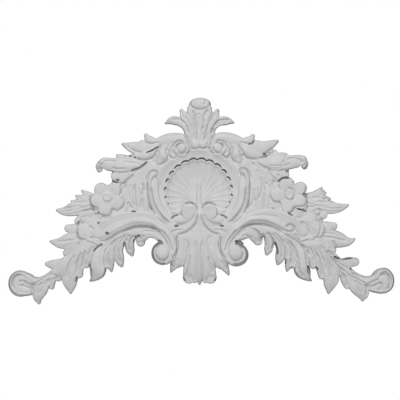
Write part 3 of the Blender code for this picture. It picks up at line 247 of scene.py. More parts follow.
# Narrow lines of the right half only
RIGHT_CREASES = (
    (1.4, 1, 72.4, 52, 69.4, 49.4, 66.6, 47.4, 64.4, 45.6),
    (1.6, 1, 76, 49, 73, 47.6, 70, 45.4, 67, 43.8, 64, 42.8, 60, 41.2, 56, 40.4, 50, 41.2, 45, 43, 41, 46),
    (1.3, 1, 55, 40.6, 57.6, 36.8, 62, 33.6, 66, 32, 68.8, 30.8, 69.4, 28.4, 70, 25.6, 72.6, 22.8, 75, 20.2,
     78, 17.6),
    (1, 1, 81.6, 35.6, 84, 39, 85.2, 42.4, 84.4, 46),
    (0.7, 1, 69, 34, 76, 34, 84, 34.2, 91, 36.4),
    (0.7, 1, 70, 31.6, 76, 31.4, 82, 31.6),
    (1.2, 1.2, 86, 39.6, 92, 41.6, 97, 40.8, 100.4, 38.4, 102, 35),
    (0.9, 1, 101.6, 40, 103.4, 37, 104.6, 33.4),
    (0.8, 1, 105.6, 42.6, 107.2, 39, 107, 35, 105.6, 32),
    (1, 1, 77.4, 26, 79.8, 22.4),
    (1.3, 1, 87, 12, 91, 11, 93.6, 9, 94.4, 5, 93.4, 1.6, 90.6, -0.4),
    (0.9, 1, 86.6, 10, 84.6, 6, 85.2, 1.8, 87.8, -0.6),
    (0.7, 1, 79, 11, 76, 11.2, 72.4, 9.4, 70.4, 4, 71.2, 0, 73.8, -1.8, 77, -2.2, 79.6, -3, 79.8, -7,
     79.4, -10),
    (1.4, 1, 105, 16.6, 105.8, 13, 105.4, 8, 105.8, 4, 106.8, 0, 106, -3.4, 103.6, -6.4, 98, -6.8, 94, -7.6,
     91.8, -11, 88, -13),
    (1, 1, 108, -6, 112, -6.8, 117, -6),
    (1.4, 1, 112, -11.6, 116, -10.4, 119.8, -10, 120.8, -12.4, 119.4, -14.8, 117, -16, 118.8, -18.4,
     120.6, -21),
    (1.2, 1, 120.4, -19, 120.8, -26, 120, -31.4, 118.6, -35, 115, -39.6),
    (0.8, 1.2, 94.6, -18, 97, -17.6, 99.6, -18.2),
    (0.8, 1.2, 100.6, -22.4, 103, -23, 105.4, -22.4),
    (1.1, 1, 60.6, 24, 61.8, 20, 62.4, 15, 61.8, 9, 60, 4, 57.6, 0),
    (1, 1, 52.4, 12, 52.4, 4, 53.4, 1, 52.4, -3, 50.4, -8),
    (1.2, 1, 65, 18, 68, 15, 70, 12, 71, 9),
    (1, 1, 68, 20, 70.6, 16, 72.4, 11.6),
    (1.3, 1, 72, 20.6, 74.6, 17, 77.6, 14, 78.8, 10.6),
    (0.8, 1.2, 57, 30, 60, 27, 62, 24),
    (0.9, 1, 44, -15, 50, -12.4, 56, -10.6, 63, -9.4, 70, -8.8, 78, -9.2),
    (0.6, 1, 52, -16.4, 60, -15.4, 70, -15.6, 80, -17.4),
    (3, 1.1, 40, -29, 44, -26.8, 47, -25.4, 51, -24.2, 56, -23.8, 62, -24.1, 68, -25.2, 74, -27.4,
     79, -30.4, 83, -34),
    (1.1, 1, 46, -22.8, 51, -21.6, 58, -21.2, 65, -22, 71, -23.8, 77, -26.6, 82, -29.6, 87, -31.4,
     93, -31.6),
    (1.4, 1, 84, -33, 89, -36.8, 94, -40, 99, -41.8, 104, -41, 110, -38.6),
    (2.2, 1, 96.6, -41, 99.4, -43.4, 102.4, -46.6, 105, -50.8, 106.2, -56, 106.8, -62, 107.6, -68),
    (2, 1, 86, -27.8, 87.4, -25.4, 90.4, -24.6, 93, -26, 94.4, -28.4, 93.4, -30.6, 90.8, -31),
    (0.9, 1, 94, -30, 98, -32, 100.4, -36.6),
    (1.5, 1.1, 101, -20.6, 105, -25, 109.4, -31, 114, -37, 119.6, -43.4),
    (0.8, 1, 106, -21, 111, -28.6, 115.4, -35.4),
    (1, 1, 50, -28, 54, -29.4),
    (2.2, 1, 53, -29, 57, -31.2, 59.6, -35, 60.7, -38.6, 60.8, -42.6),
    (0.9, 1, 42, -35.4, 46, -35.2, 49, -36.8, 51.6, -38.6),
    (1.6, 0.9, 62.4, -33, 64.6, -37.6, 65.7, -42, 65.7, -47),
    (1, 1, 65.6, -32.6, 68.6, -36.4, 69.6, -41, 69, -46, 67.4, -52),
    (2.2, 0.9, 67.6, -31.6, 70, -35.4, 72, -39, 73.2, -42.6, 72.8, -46, 71.2, -49.4),
    (1.3, 0.9, 71, -32.6, 75, -36.6, 79, -41.6, 81.4, -47, 81.8, -53, 80.6, -60),
    (1.3, 0.9, 73, -31.8, 78, -36.2, 81.6, -41.2, 83.8, -46, 84.8, -51, 84.8, -57),
    (0.8, 0.9, 83, -39, 86.6, -45, 88, -51, 87.8, -57),
    (1.5, 0.9, 86, -42, 89.6, -46.6, 91.6, -51.6, 91.6, -57, 90.2, -65),
    (1.9, 0.9, 87, -38.6, 91.4, -44, 94.4, -48.6, 96.4, -54, 97.4, -59, 98.2, -65, 99.8, -71.6, 104.4, -77),
    (0.9, 0.9, 93.4, -50, 94.6, -57, 95.4, -64, 96.4, -71),
    (1, 0.9, 108, -50, 108, -58, 109.2, -65.6),
    (1.1, 1, 108.6, -46, 112, -53, 114.6, -60, 116, -66.4),
    (1.3, 1, 111.6, -45, 116, -53, 119.4, -61.4, 121.4, -69, 122.4, -77),
    (0.9, 1, 115, -45.6, 120.6, -55, 124, -63, 125.6, -72),
    (1.4, 1, 118, -44, 124.6, -55, 128.2, -63, 130, -71, 130.4, -80),
    (1.7, 1, 120, -43.6, 127, -54.6, 132, -62, 136.6, -68.6, 139.2, -74, 140, -80),
    (1.4, 1, 125, -50.6, 131, -58, 136, -64, 140.4, -69.6, 143, -75, 143.6, -80),
    (1.7, 1, 129, -56.6, 136, -64, 142, -69.6, 150, -75.2, 158, -79.6, 164.4, -83, 167, -87),
    (1.4, 0.9, 139, -70.4, 143, -75, 145.4, -80, 147.2, -87),
    (1.5, 1, 131, -57.4, 138, -62.6, 145.6, -67.2, 151.6, -70.4),
    (0.8, 1, 142, -68, 150, -72.4, 158, -76.6, 166, -79.4),
    (2.4, 1.2, 127, -50.4, 130.4, -53, 133.4, -55.6),
    (1.5, 1, 132.6, -40, 135, -45, 136.4, -48.4),
    (1, 1, 122, -36.8, 130, -37, 138, -39, 147, -40.6),
    (0.6, 1, 121, -33.4, 128, -33.4, 136, -34.6),
    (1.2, 1, 184, -72, 187.6, -75.4, 189.6, -80, 189.2, -85, 187, -89.6),
    (1.4, 1, 166, -85, 170, -82.6, 174, -81, 179, -79),
    (1.2, 1, 170, -86.4, 175, -84.8, 179.6, -82.6, 181, -84.6, 180.6, -88, 177, -90),
    (1.2, 1, 179, -75, 182, -73.4, 185.4, -74),
    (1.4, 1.1, 150, -72, 156, -74.8, 162, -77.4, 168, -78, 173, -76.6, 176.6, -73, 178.6, -70),
    (1.2, 1, 165.4, -84, 166.6, -89, 165.8, -96),
    (0.8, 1, 156, -80, 160, -86, 162.4, -94),
    (0.8, 1, 150, -77, 155, -84, 159.6, -93),
    (0.8, 1, 112, 2.4, 119, 2.2, 127, 0.6),
    (0.8, 1, 112, -2.4, 124, -2, 138, -4),
)

# Narrow lines of the ball, the palmette and the drop
MIDDLE_CREASES = (
    (0.9, 1.2, 5, 101.4, 6, 99, 5.6, 96.4, 3.6, 94.4),
    (0.5, 1.2, -10, 96, -8.4, 93.2, -5.4, 91.2, -1.6, 90.2, 2.6, 90.6, 6, 92.4, 8, 95, 8.4, 98, 7.4, 100.4),
    (2, 0.95, -8, 91, -6.6, 87.6, -5.8, 84.5, -5.4, 80.4, -4.9, 75, -4.7, 70, -4.5, 62, -4.6, 57),
    (0.8, 0.95, -14.6, 89, -12, 86, -9.8, 82, -8.4, 78, -7.3, 73, -6.4, 68),
    (1.2, 0.95, -15.8, 85, -13, 81, -11.4, 77.6, -9.6, 74, -8.2, 70, -7, 65, -6.4, 59),
    (1.2, 1, -29, 79.4, -23.6, 80.6, -18.6, 79.4, -15.8, 77, -14.2, 74, -13, 70.6, -11.6, 65),
    (0.8, 0.95, -18.6, 88.6, -17.4, 84, -15.4, 80),
    (0.8, 0.95, -3.2, 62, -3.5, 72, -3.7, 80, -3.2, 83.6, -1.4, 85.2, 0.4, 83.8, 1, 80, 1.1, 72, 1.2, 64),
    (1, 0.95, -1.3, 84, -1.2, 76, -1.2, 68),
    (0.9, 0.95, 2.6, 74, 2.5, 70, 2.6, 63),
    (1.7, 0.95, 8, 91, 5.8, 87, 4.5, 84, 3.9, 80, 3.6, 75, 3.5, 68),
    (1.4, 0.95, 9.6, 90, 7.8, 86.6, 6.6, 83, 5.9, 79, 5.3, 75, 4.6, 70, 4.1, 64),
    (2.4, 0.95, 16.2, 88.4, 13.4, 84.4, 10.8, 80.4, 8.5, 76, 7, 72.4, 5.9, 68.6, 5, 64, 4.5, 58),
    (1, 0.95, 13.6, 88.6, 11, 84.4, 8.8, 80.4, 7, 76.6),
    (1.2, 1, 17.6, 89, 17.6, 86, 17.2, 83),
    (1.6, 1, 30.6, 79.2, 26, 80, 21, 79.6, 17.2, 77.6, 14.6, 74.6, 13, 71.4, 12, 67.6),
    (0.8, 0.95, 28, 77.4, 23, 77.8, 18.6, 76, 16, 73),
    (0.9, 0.95, -15.4, -38, -15.4, -46, -15.6, -52, -16.6, -58, -17.2, -62, -17.8, -64.6),
    (1.5, 0.95, -13.6, -39, -12.2, -44, -11.8, -48.5, -12.2, -53, -13.4, -58.6, -14.6, -63, -15.4, -66.4),
    (1.6, 0.95, -10.6, -54, -10.4, -60, -10.6, -64, -11.2, -67.6, -12.6, -71.6, -13.8, -74.6, -14.4, -77.4),
    (1, 1.3, -4.9, -40, -4.4, -46.6, -3.6, -50.6, -3, -56, -2.8, -62, -3, -68, -3.3, -74, -3.2, -81),
    (1.4, 1.1, 2.9, -39, 2.2, -44, 1.4, -48, 1.2, -54, 1.6, -60, 2.2, -66, 2.6, -70, 2.8, -75, 2.6, -81),
    (1.1, 0.95, 9, -34, 8.4, -38, 7.8, -44, 8.4, -50, 9.4, -54.4, 10.6, -57.4, 11.8, -60.4, 12.8, -64,
     13.8, -68, 14.6, -72),
    (1.6, 0.95, 8.6, -56, 9.4, -61, 10.4, -65.4, 11.6, -69.6, 12.6, -73.6),
    (0.8, 0.95, 10.4, -35, 10.6, -42, 10.6, -48),
    (0.9, 0.95, 14.2, -63, 15, -67.4, 15.3, -71),
    (2, 1.3, 13.2, 72, 12.2, 68.8, 11.8, 65.4),
    (1, 0.95, 20.6, -60, 24, -65.4, 26.6, -70),
    (0.8, 0.95, -22, -58, -24.6, -63.6, -26.6, -68),
)

# Deep gaps of both halves. A row is the height of the floor, and then x, z, half width
# again and again along the gap
CREVICES = (
    (8, -28, -18.2, 0.3, -26.4, -16.5, 0.5, -24, -15.4, 0.4, -22.4, -15.1, 0.1),
    (15, -22.4, -15.1, 0.1, -20.6, -14.9, 0.1, -18.4, -14.4, 0.1),
    (10, -24.6, -25.9, 0.5, -22.6, -25.8, 0.5),
    (8, -15.6, -4.4, 0, -13.6, -3.4, 0.25, -10.4, -2.8, 0.35, -8, -3.3, 0.25, -6, -4.6, 0),
    (6, -42.2, -41, 0.6, -39.8, -41.8, 1.3, -38.2, -43.2, 0.6),
    (7, -16.6, -77, 0.2, -15.4, -79.4, 0.5, -14.6, -80.4, 0.2),
    (9, -29.6, -63.4, 0.6, -28.6, -64.2, 0.5),
)

# Deep gaps of the left half only
LEFT_CREVICES = (
    (7, -53.6, 47.4, 0, -50.5, 48.3, 0.2, -47, 50, 0.35, -44, 51.8, 0.2, -41.6, 53.4, 0),
    (6, -67.6, 29.6, 0.5, -64, 30.7, 0.7, -60.6, 31.9, 0.5, -57.6, 34, 0.5, -55.5, 36, 0.4, -53, 38.2, 0.1),
    (4, -75, 44.8, 0.5, -72.4, 45.2, 0.8, -70.6, 44.2, 0.6, -68.6, 43.6, 0.3),
    (7, -65.4, 42.4, 0.5, -64.6, 42.6, 0.5),
    (5, -87.6, 18.8, 0.7, -85.8, 18.6, 0.4),
    (6, -83, 20.2, 0.4, -81.4, 20, 0.5),
    (6, -85.4, 17.8, 0.2, -83.4, 17.6, 0.4, -81.6, 17.7, 0.3),
    (10, -67.4, -11.4, 0.2, -64.8, -11.2, 0.5),
    (7, -3, -82, 0.2, -1.9, -83.6, 0.4),
    (7, -64, -36.7, 0.7, -62, -36.2, 0.8, -60.6, -35, 0.2),
    (8, -65.6, -39.4, 0.2, -66.4, -42, 0.2),
    (6, -75.4, -43, 0.7, -75.4, -46, 1, -74.4, -49, 0.6),
    (7, -98.2, -44.6, 0.9, -101, -46, 0.5, -103.4, -48, 0.4, -105.8, -51, 0.3),
    (3, -110.4, -65.6, 0.7, -109.6, -69, 0.7, -108.9, -74, 0.5, -108.8, -78, 0.3),
    (4, -122.8, -77, 0.2, -123.4, -79, 0.5, -124, -81, 0.2),
    (8, -93.4, -32.8, 0.6, -91.8, -33.4, 0.6),
    (9, -101.6, -22.8, 0.6, -101, -23, 0.6),
    (10, -101.6, -12.6, 0.4, -101, -12.7, 0.4),
    (6, -121.8, -22.6, 0.6, -120.8, -21.4, 0.4),
)

# Deep gaps of the right half only
RIGHT_CREVICES = (
    (2, 36.2, -41.2, 0.5, 39, -42.8, 0.8, 41.8, -44.8, 0.5),
    (8, 48.6, 55.6, 0.2, 51.2, 56.1, 0.4, 53, 57.2, 0.3, 53.6, 59.6, 0.1),
    (4, 63.8, 46, 0.7, 65.8, 43.8, 0.7),
    (9, 104.2, 32, 0.2, 105.8, 32.5, 0.6, 106.8, 34.2, 0.2),
    (7, 86, 28.6, 0.5, 88, 28.4, 0.4),
    (3, 78.8, 19.2, 0.5, 80.6, 20.8, 0.5, 83, 21.9, 0.4, 86, 22.3, 0.5, 89, 22.3, 0.4),
    (8, 93, 18.4, 0.1, 95.3, 15.9, 0.5),
    (6, 103.2, 6.4, 0.3, 105.6, 4.4, 0.5),
    (8, 97.4, -8.8, 0.3, 101, -9.6, 0.2, 103.6, -10.4, 0.4, 105.8, -11.6, 0.2),
    (9, 88.4, -13.2, 0.3, 90, -14.2, 0.4, 92, -15.2, 0.3),
    (8, 123, 7.8, 0.3, 125.2, 6.8, 0.4),
    (6, 61.4, -37.4, 0.3, 63.6, -36.6, 0.4),
    (4, 74.8, -42.4, 0.3, 76.6, -46.6, 0.3, 77.3, -50.6, 0.4, 77.4, -54, 0.2),
    (4, 84.2, -59.2, 0.3, 85.4, -60.6, 0.4, 85.6, -63.6, 0.2),
    (8, 90, -68.6, 0.2, 91.4, -66.8, 0.4),
    (4, 92.8, -68.8, 0.2, 95.6, -73, 0.3, 99, -77.2, 0.3, 103, -79.8, 0.2),
    (2, 107.6, -66, 0.1, 108.4, -69.6, 0.6, 108.6, -73, 0.5),
    (4, 115.4, -66.8, 0.2, 117, -68, 0.5, 117.2, -70, 0.3),
    (6, 149.6, -68.4, 0.2, 151, -69.4, 0.5),
    (4, 134, -56.4, 0.1, 138, -58.2, 0.4, 143, -59.2, 0.5, 149, -58.4, 0.4, 154, -57.8, 0.4,
     157.6, -58.4, 0.2),
)

# The finish
PRIMER_DARK = (0.545, 0.545, 0.55)
PRIMER_LIGHT = (0.60, 0.60, 0.605)
PRIMER_ROUGHNESS, PRIMER_SHINE = 0.72, 0.25
CLOUD_SCALE, CLOUD_DETAIL, CLOUD_ROUGHNESS = 55.0, 5.0, 0.6
DARK_UP_TO, LIGHT_FROM = 0.35, 0.68
GRAIN_SCALE, GRAIN_DETAIL = 900.0, 3.0
GRAIN_STRENGTH, GRAIN_HEIGHT = 0.12, 0.0004
SHARP_ANGLE = 70

# The room: camera, floor and light
SENSOR = 36.0
CAMERA_DISTANCE = 8.0
PICTURE_UNITS = 400
PICTURE_WIDTH = PICTURE_UNITS * UNIT
PICTURE_MIDDLE = (0.0, 0.0)
FLOOR_LEVEL = -0.75
FLOOR_THICKNESS = 0.01
FLOOR_RADIUS = 1.2
FLOOR_SIDES = 96
FLOOR_COLOUR = (0.82, 0.82, 0.81)
FLOOR_ROUGHNESS = 0.9
AMBIENT = 0.10
SOFTBOXES = (
    ("key", (-0.3, -1.8, 2.4), 1.2, 50.0),
    ("fill", (0.1, -3.6, 0.5), 1.6, 70.0),
)


def smooth_path(stations, spacing=1.2):
    """A smooth curve through the stations. What is given beside x and z changes smoothly too."""
    points = np.array(stations, float)
    ends = 2 * points[[0, -1]] - points[[1, -2]]
    padded = np.vstack([ends[:1], points, ends[1:]])
    rows = []
    for before, start, stop, after in zip(padded, padded[1:], padded[2:], padded[3:]):
        length = np.hypot(*(stop - start)[:2])
        t = np.linspace(0, 1, max(2, int(length / spacing) + 1), endpoint=False)[:, None]
        rows.append(0.5 * (2 * start + (stop - before) * t
                           + (2 * before - 5 * start + 4 * stop - after) * t ** 2
                           + (3 * (start - stop) + after - before) * t ** 3))
    return np.vstack(rows + [points[-1:]])


def turned_over(stations):
    """The stations of the right half, from those of the left half."""
    moved = np.array(stations, float)
    drift = np.array(DRIFT)
    for row in moved:
        near = np.hypot(drift[:, 0] - row[0], drift[:, 1] - row[1])
        weight = 1 / (near + DRIFT_REACH) ** 3
        middle = min(1.0, abs(row[0]) / MIDDLE_STRIP)
        dx, dz = (drift[:, 2:] * weight[:, None]).sum(0) / weight.sum() * middle
        row[0] = -row[0] + dx
        row[1] += dz
    return moved


def rounded_rim(inward):
    """How far a face drops where it comes close to its edge."""
    return FILLET_DROP * (1 - np.sqrt(1 - np.clip(1 - inward / FILLET, 0, 1) ** 2))


def soft_min(a, b, radius):
    """The lower of two heights, with a rounded edge where they meet."""
    overlap = np.maximum(radius - np.abs(a - b), 0) / radius
    return np.minimum(a, b) - overlap ** 2 * radius / 4


class Relief:
    """Heights above the back, on a grid of cells."""

    def __init__(self, cell):
        self.x = np.arange(DRAWING_LEFT, DRAWING_RIGHT + cell / 2, cell)
        self.z = np.arange(DRAWING_BOTTOM, DRAWING_TOP + cell / 2, cell)
        self.height = np.full((len(self.z), len(self.x)), OUTSIDE)

    def window(self, left, right, bottom, top):
        """The cells between four sides: their place in the grid, their x and their z."""
        columns = slice(*np.searchsorted(self.x, (left, right)))
        rows = slice(*np.searchsorted(self.z, (bottom, top)))
        px, pz = np.meshgrid(self.x[columns], self.z[rows])
        return (rows, columns), px, pz

    def along(self, stations, margin):
        """For the cells near a path: where on it they are, how far from it, and on which side."""
        path = smooth_path(stations)
        reach = path[:, 2].max() + margin
        place, px, pz = self.window(path[:, 0].min() - reach, path[:, 0].max() + reach,
                                    path[:, 1].min() - reach, path[:, 1].max() + reach)
        best = np.full(px.shape, np.inf)
        found = np.zeros(px.shape + (path.shape[1],))
        side = np.zeros(px.shape)
        share = np.zeros(px.shape)
        lengths = np.hypot(np.diff(path[:, 0]), np.diff(path[:, 1]))
        travelled = np.concatenate([[0], np.cumsum(lengths)]) / lengths.sum()
        for k, (start, stop) in enumerate(zip(path, path[1:])):
            run = stop[:2] - start[:2]
            t = ((px - start[0]) * run[0] + (pz - start[1]) * run[1]) / max(run @ run, TINY)
            t = np.clip(t, 0, 1)
            away_x, away_z = px - start[0] - t * run[0], pz - start[1] - t * run[1]
            distance = np.hypot(away_x, away_z)
            nearer = distance < best
            best[nearer] = distance[nearer]
            found[nearer] = start + t[nearer][:, None] * (stop - start)
            side[nearer] = np.sign(run[0] * away_z - run[1] * away_x)[nearer]
            share[nearer] = travelled[k] + t[nearer] * lengths[k] / lengths.sum()
        return place, best, side, share, found[..., 2], found[..., 3]

    def raise_to(self, place, local):
        """Lift cells to the given heights, where they aren't higher already."""
        self.height[place] = np.maximum(self.height[place], local)

    def stroke(self, stations, crown=1.0, veins=(), foot=FOOT, turn=1, wall=WALL):
        """A leaf, band or rod. Each station is x, z, half width, height."""
        place, distance, side, share, half, top = self.along(stations, MARGIN)
        across = np.clip(distance / np.maximum(half, THINNEST), 0, 1)
        top = top - crown * across ** 2
        fade = np.clip(share / VEIN_START, 0, 1) * np.clip((1 - share) / VEIN_STOP, 0, 1)
        for position, depth, width in veins:
            off = (side * turn * across - position) * half
            top = top - depth * fade * np.exp(-(off / width) ** 2)
        edge = foot + wall * (half - distance)
        self.raise_to(place, soft_min(top - rounded_rim(half - distance), edge, RIM))

    def ball(self, x, z, radius_x, radius_z, height, dome=1.0, foot=FOOT, wall=WALL):
        """A boss with a domed face."""
        reach = max(radius_x, radius_z) + WIDE_MARGIN
        place, px, pz = self.window(x - reach, x + reach, z - reach, z + reach)
        out = np.hypot((px - x) / radius_x, (pz - z) / radius_z)
        top = height - dome * (1 - np.sqrt(np.clip(1 - out ** 2, 0, 1)))
        edge = foot + np.where(out < 1, wall, WALL) * (1 - out) * min(radius_x, radius_z)
        self.raise_to(place, soft_min(top, edge, RIM))

    def plate(self, outline, height, foot=FOOT):
        """Flat ground inside an outline."""
        ring = np.array(outline, float)[:, :2]
        (left, bottom), (right, top) = ring.min(0) - 1, ring.max(0) + 1
        place, px, pz = self.window(left, right, bottom, top)
        inside = np.zeros(px.shape, bool)
        distance = np.full(px.shape, np.inf)
        for start, stop in zip(ring, np.roll(ring, -1, axis=0)):
            run = stop - start
            t = np.clip(((px - start[0]) * run[0] + (pz - start[1]) * run[1]) / (run @ run), 0, 1)
            distance = np.minimum(distance, np.hypot(px - start[0] - t * run[0],
                                                     pz - start[1] - t * run[1]))
            crosses = (start[1] > pz) != (stop[1] > pz)
            level = start[0] + (pz - start[1]) * run[0] / (run[1] if run[1] else TINY)
            inside ^= crosses & (px < level)
        signed = np.where(inside, distance, -distance)
        self.raise_to(place, np.minimum(height, foot + WALL * signed))


def on_both(relief, stations, **form):
    """The same stroke on the left half and, turned over, on the right half."""
    relief.stroke(stations, turn=1, **form)
    relief.stroke(turned_over(stations), turn=-1, **form)


def balls_on_both(relief, x, z, radius_x, radius_z, height, **form):
    """The same boss on the left half and on the right half."""
    relief.ball(x, z, radius_x, radius_z, height, **form)
    right = turned_over([(x, z)])[0]
    relief.ball(right[0], right[1], radius_x, radius_z, height, **form)


def plates_on_both(relief, outline, height, **form):
    """The same flat ground on the left half and, turned over, on the right half."""
    relief.plate(outline, height, **form)
    relief.plate(turned_over(outline), height, **form)


def arc(x, z, radius_x, radius_z, first, last, half, height, count=9):
    """Stations on part of an ellipse, between two angles in degrees."""
    angles = np.radians(np.linspace(first, last, count))
    return [(x + radius_x * np.cos(a), z + radius_z * np.sin(a), half, height) for a in angles]


def ground(relief):
    """The low plate that joins the carving, and the higher beds of its crowded parts."""
    half = [
        (1, -76), (1, 88), (-8, 88), (-12, 74), (-13, 62), (-30, 61), (-50, 60), (-58, 53), (-68, 46),
        (-80, 41), (-97, 37), (-84, 27), (-86, 18), (-100, 10), (-104, 5), (-118, 2), (-124, -12),
        (-121, -24), (-131, -42), (-133, -56), (-145, -66), (-152, -78), (-140, -76), (-128, -72),
        (-112, -62), (-98, -62), (-89, -58), (-80, -50), (-70, -42), (-60, -36), (-48, -34), (-40, -38),
        (-34, -46), (-30, -58), (-22, -63), (-12, -70)]
    side_bed = [
        (-48, 30), (-52, 40), (-66, 42), (-78, 40), (-80, 30), (-84, 24), (-84, 16), (-100, 6), (-106, -2),
        (-106, -12), (-118, -14), (-121, -26), (-121, -40), (-132, -54), (-142, -66), (-128, -66),
        (-112, -56), (-100, -46), (-84, -36), (-60, -24), (-44, -20)]
    plates_on_both(relief, half, GROUND)
    plates_on_both(relief, side_bed, SIDE_BED)
    plates_on_both(relief, [(-88, 28), (-70, 32), (-66, 20), (-80, 14), (-88, 17)], SIDE_BED)
    plates_on_both(relief, [(-63, 14), (-63, 34), (-40, 37), (-30, 41), (-34, 30), (-46, 14)], CREST_BED)


def finial(relief):
    """The palmette at the top: a ball, and two pairs of leaves that curl out of a sheaf of ribs."""
    bed = [
        (0, 46), (-9, 46), (-12.4, 60), (-13.6, 66), (-14.6, 74), (-17, 84), (-11.6, 90), (-10, 94),
        (0, 95)]
    plates_on_both(relief, bed, FINIAL_BED)
    relief.stroke([
        (-0.8, 57, 4.8, 16.6), (-0.8, 70, 4.4, 18.4), (-0.8, 82, 5.4, 19.1), (-0.7, 88, 6.6, 18.9)],
        crown=0.2)
    on_both(relief, [
        (-11.6, 54, 2.6, 14), (-12.8, 64, 2.7, 15.5), (-14.4, 71.4, 2.8, 16.5), (-19.8, 77.8, 4.3, 17),
        (-27.4, 79.4, 4.2, 15.5), (-34.2, 76.9, 1.2, 12)])
    on_both(relief, [
        (-9, 56, 2.8, 15), (-10.2, 66, 3.2, 16.5), (-12.4, 76, 4, 18), (-15.8, 84, 4.2, 18),
        (-18.4, 89.2, 1.9, 16)], crown=0.7)
    on_both(relief, [
        (-6.6, 57, 2.2, 16), (-7.4, 70, 2.6, 17.5), (-9, 80, 3, 18.4), (-10.4, 87.4, 2.6, 18.2),
        (-10.6, 92, 2, 17.5)], crown=0.6)
    on_both(relief, [
        (-4, 58, 2, 16.5), (-4.4, 70, 2.3, 18), (-5.2, 80, 2.8, 18.8), (-6.4, 89, 3.2, 18.8)], crown=0.5)
    relief.stroke([
        (-0.9, 58, 2.1, 17), (-0.9, 72, 2.4, 18.2), (-1.1, 80, 2.8, 18.8), (-1.2, 84.6, 2.6, 18.8)],
        crown=0.4, foot=15)
    relief.stroke([(-0.8, 85.4, 5.4, 18.2), (-0.7, 92, 8.5, 18.6)], crown=0.6, foot=14)
    relief.ball(-0.3, 91.6, 11.5, 9.8, 18.2, dome=0.4)
    relief.ball(0.1, 95.9, 9.8, 5.8, 20.8, dome=2, foot=17.6, wall=3)
    relief.ball(-4.8, 55.4, 3.9, 4, 18.2, dome=1.8, foot=12)
    relief.ball(3, 55.9, 4, 4, 18.2, dome=1.8, foot=12)


def crest(relief):
    """The pair of scrolls under the finial, with their hooks and drops."""
    bed = [
        (-9, 43), (-9, 58), (-13, 64), (-28, 64), (-50, 59), (-54, 52), (-56, 38), (-50, 26), (-38, 33),
        (-26, 40), (-18, 42)]
    plates_on_both(relief, bed, CREST_BED)
    on_both(relief, [
        (-11.6, 50, 2, 16.5), (-13.8, 56, 3.4, 17.5), (-18.6, 61, 5.1, 18), (-27, 61, 6.1, 18),
        (-36, 59.4, 5.6, 17.5), (-44, 58.2, 3.6, 16.5), (-50.4, 59.8, 4.6, 16), (-54, 64.6, 1.9, 14)],
        crown=1.5, veins=((-0.55, 0.6, 1),))
    on_both(relief, arc(-18.2, 51.6, 6.5, 6, 10, -170, 1.9, 17.8), foot=15)
    balls_on_both(relief, -18.4, 51.6, 5, 4.6, 18.8, dome=2, foot=15)
    on_both(relief, [
        (-18.5, 58.8, 1.4, 17), (-24.4, 58, 2.2, 17.5), (-28.4, 53.4, 2.6, 17.5), (-29, 47.6, 2.6, 17.5),
        (-27.4, 44, 2.2, 16.5), (-24.6, 44.6, 1.3, 16)], crown=1.1, foot=14)
    on_both(relief, [
        (-34.6, 57.6, 3.4, 17), (-35.8, 51, 4.6, 17.5), (-38, 44.5, 6.2, 18), (-40, 40.4, 5.6, 16.5)],
        crown=1.8, foot=9, veins=((-0.2, 0.6, 0.7),))
    on_both(relief, [
        (-31.8, 57, 1.4, 16.5), (-31.4, 48, 1.4, 16), (-31.4, 42, 1.2, 15)], crown=0.8, foot=12)


def side_leaves(relief):
    """The leaves that reach out beside the shell."""
    on_both(relief, [(-44, 55.4, 3, 15), (-52, 56.2, 3.4, 14.5), (-58.6, 57.8, 2, 12.5)])
    on_both(relief, [
        (-37, 57, 1.6, 16.5), (-48, 54, 4.4, 16), (-58, 51.6, 6.4, 15.5), (-66.5, 52.4, 5.8, 14),
        (-73, 54.3, 3.4, 12.5), (-77.2, 56, 1.3, 10.5)], crown=1.3)
    on_both(relief, [
        (-42, 53, 2.6, 16.5), (-47, 48.4, 4.6, 17), (-55, 45, 5.4, 16), (-63.4, 44.2, 3.2, 14)], crown=1.3,
        foot=9)
    on_both(relief, [(-70, 40, 3.8, 15), (-78.6, 42.2, 3.6, 15), (-82.2, 44.2, 1.8, 13)])
    on_both(relief, [
        (-52.6, 38.6, 2, 15.5), (-61, 36, 5, 16), (-70, 35, 6.6, 16.5), (-79, 35, 7.2, 17),
        (-88, 35.2, 6.6, 17.5), (-95.6, 36.2, 6.1, 17.5), (-100.2, 33.6, 4.2, 17),
        (-100.6, 30.6, 2.9, 15.5)], crown=1.7)
    relief.stroke([
        (57, 50.6, 6.4, 15.5), (66, 52.8, 6, 14.5), (72.4, 55.8, 3.5, 13), (77, 58.5, 1.6, 10.5)],
        crown=1.3)
    relief.stroke([
        (84, 38.4, 6, 17.2), (92, 39, 5.6, 17.5), (98, 40.2, 4.9, 17.4), (102.6, 40.2, 4.2, 17)], crown=1.7)
    relief.ball(85, 43.6, 3.5, 3.6, 14)
    relief.ball(73.4, 46.2, 4.8, 4.2, 14)
    balls_on_both(relief, -84, 24, 5, 5.2, 15, dome=1.4)
    on_both(relief, [
        (-60, 31.4, 3.8, 14), (-70, 26, 5, 14.5), (-79, 22.4, 6.6, 14.5), (-82.6, 21, 4.8, 13.5)],
        crown=1.2)


def husks(relief):
    """The upright folds between the flower and the frame."""
    for bottom, top, half in (((-71.8, -12), (-76.5, 13), 3), ((-66.8, -13), (-71, 16), 3.7),
                              ((-60.6, -13), (-61.8, 17), 4.8), ((-53.8, -13), (-54.6, 18), 3.8)):
        middle = ((bottom[0] + top[0]) / 2, (bottom[1] + top[1]) / 2)
        on_both(relief, [
            (*bottom, half * HUSK_FOOT, 14.5), (*middle, half, 16), (*top, half, 15)], crown=1.4, foot=12)
    on_both(relief, [(-58.6, 2, 2.4, 16.5), (-58.4, 12, 2.6, 17)], foot=14)
    on_both(relief, [(-66, 15, 4, 15), (-62, 24, 4.2, 15), (-56, 31, 3.6, 14.5)], foot=12)
    on_both(relief, [(-72, 15, 3, 14.5), (-69, 24, 3.2, 14.5), (-64, 31, 3, 14)], foot=12)


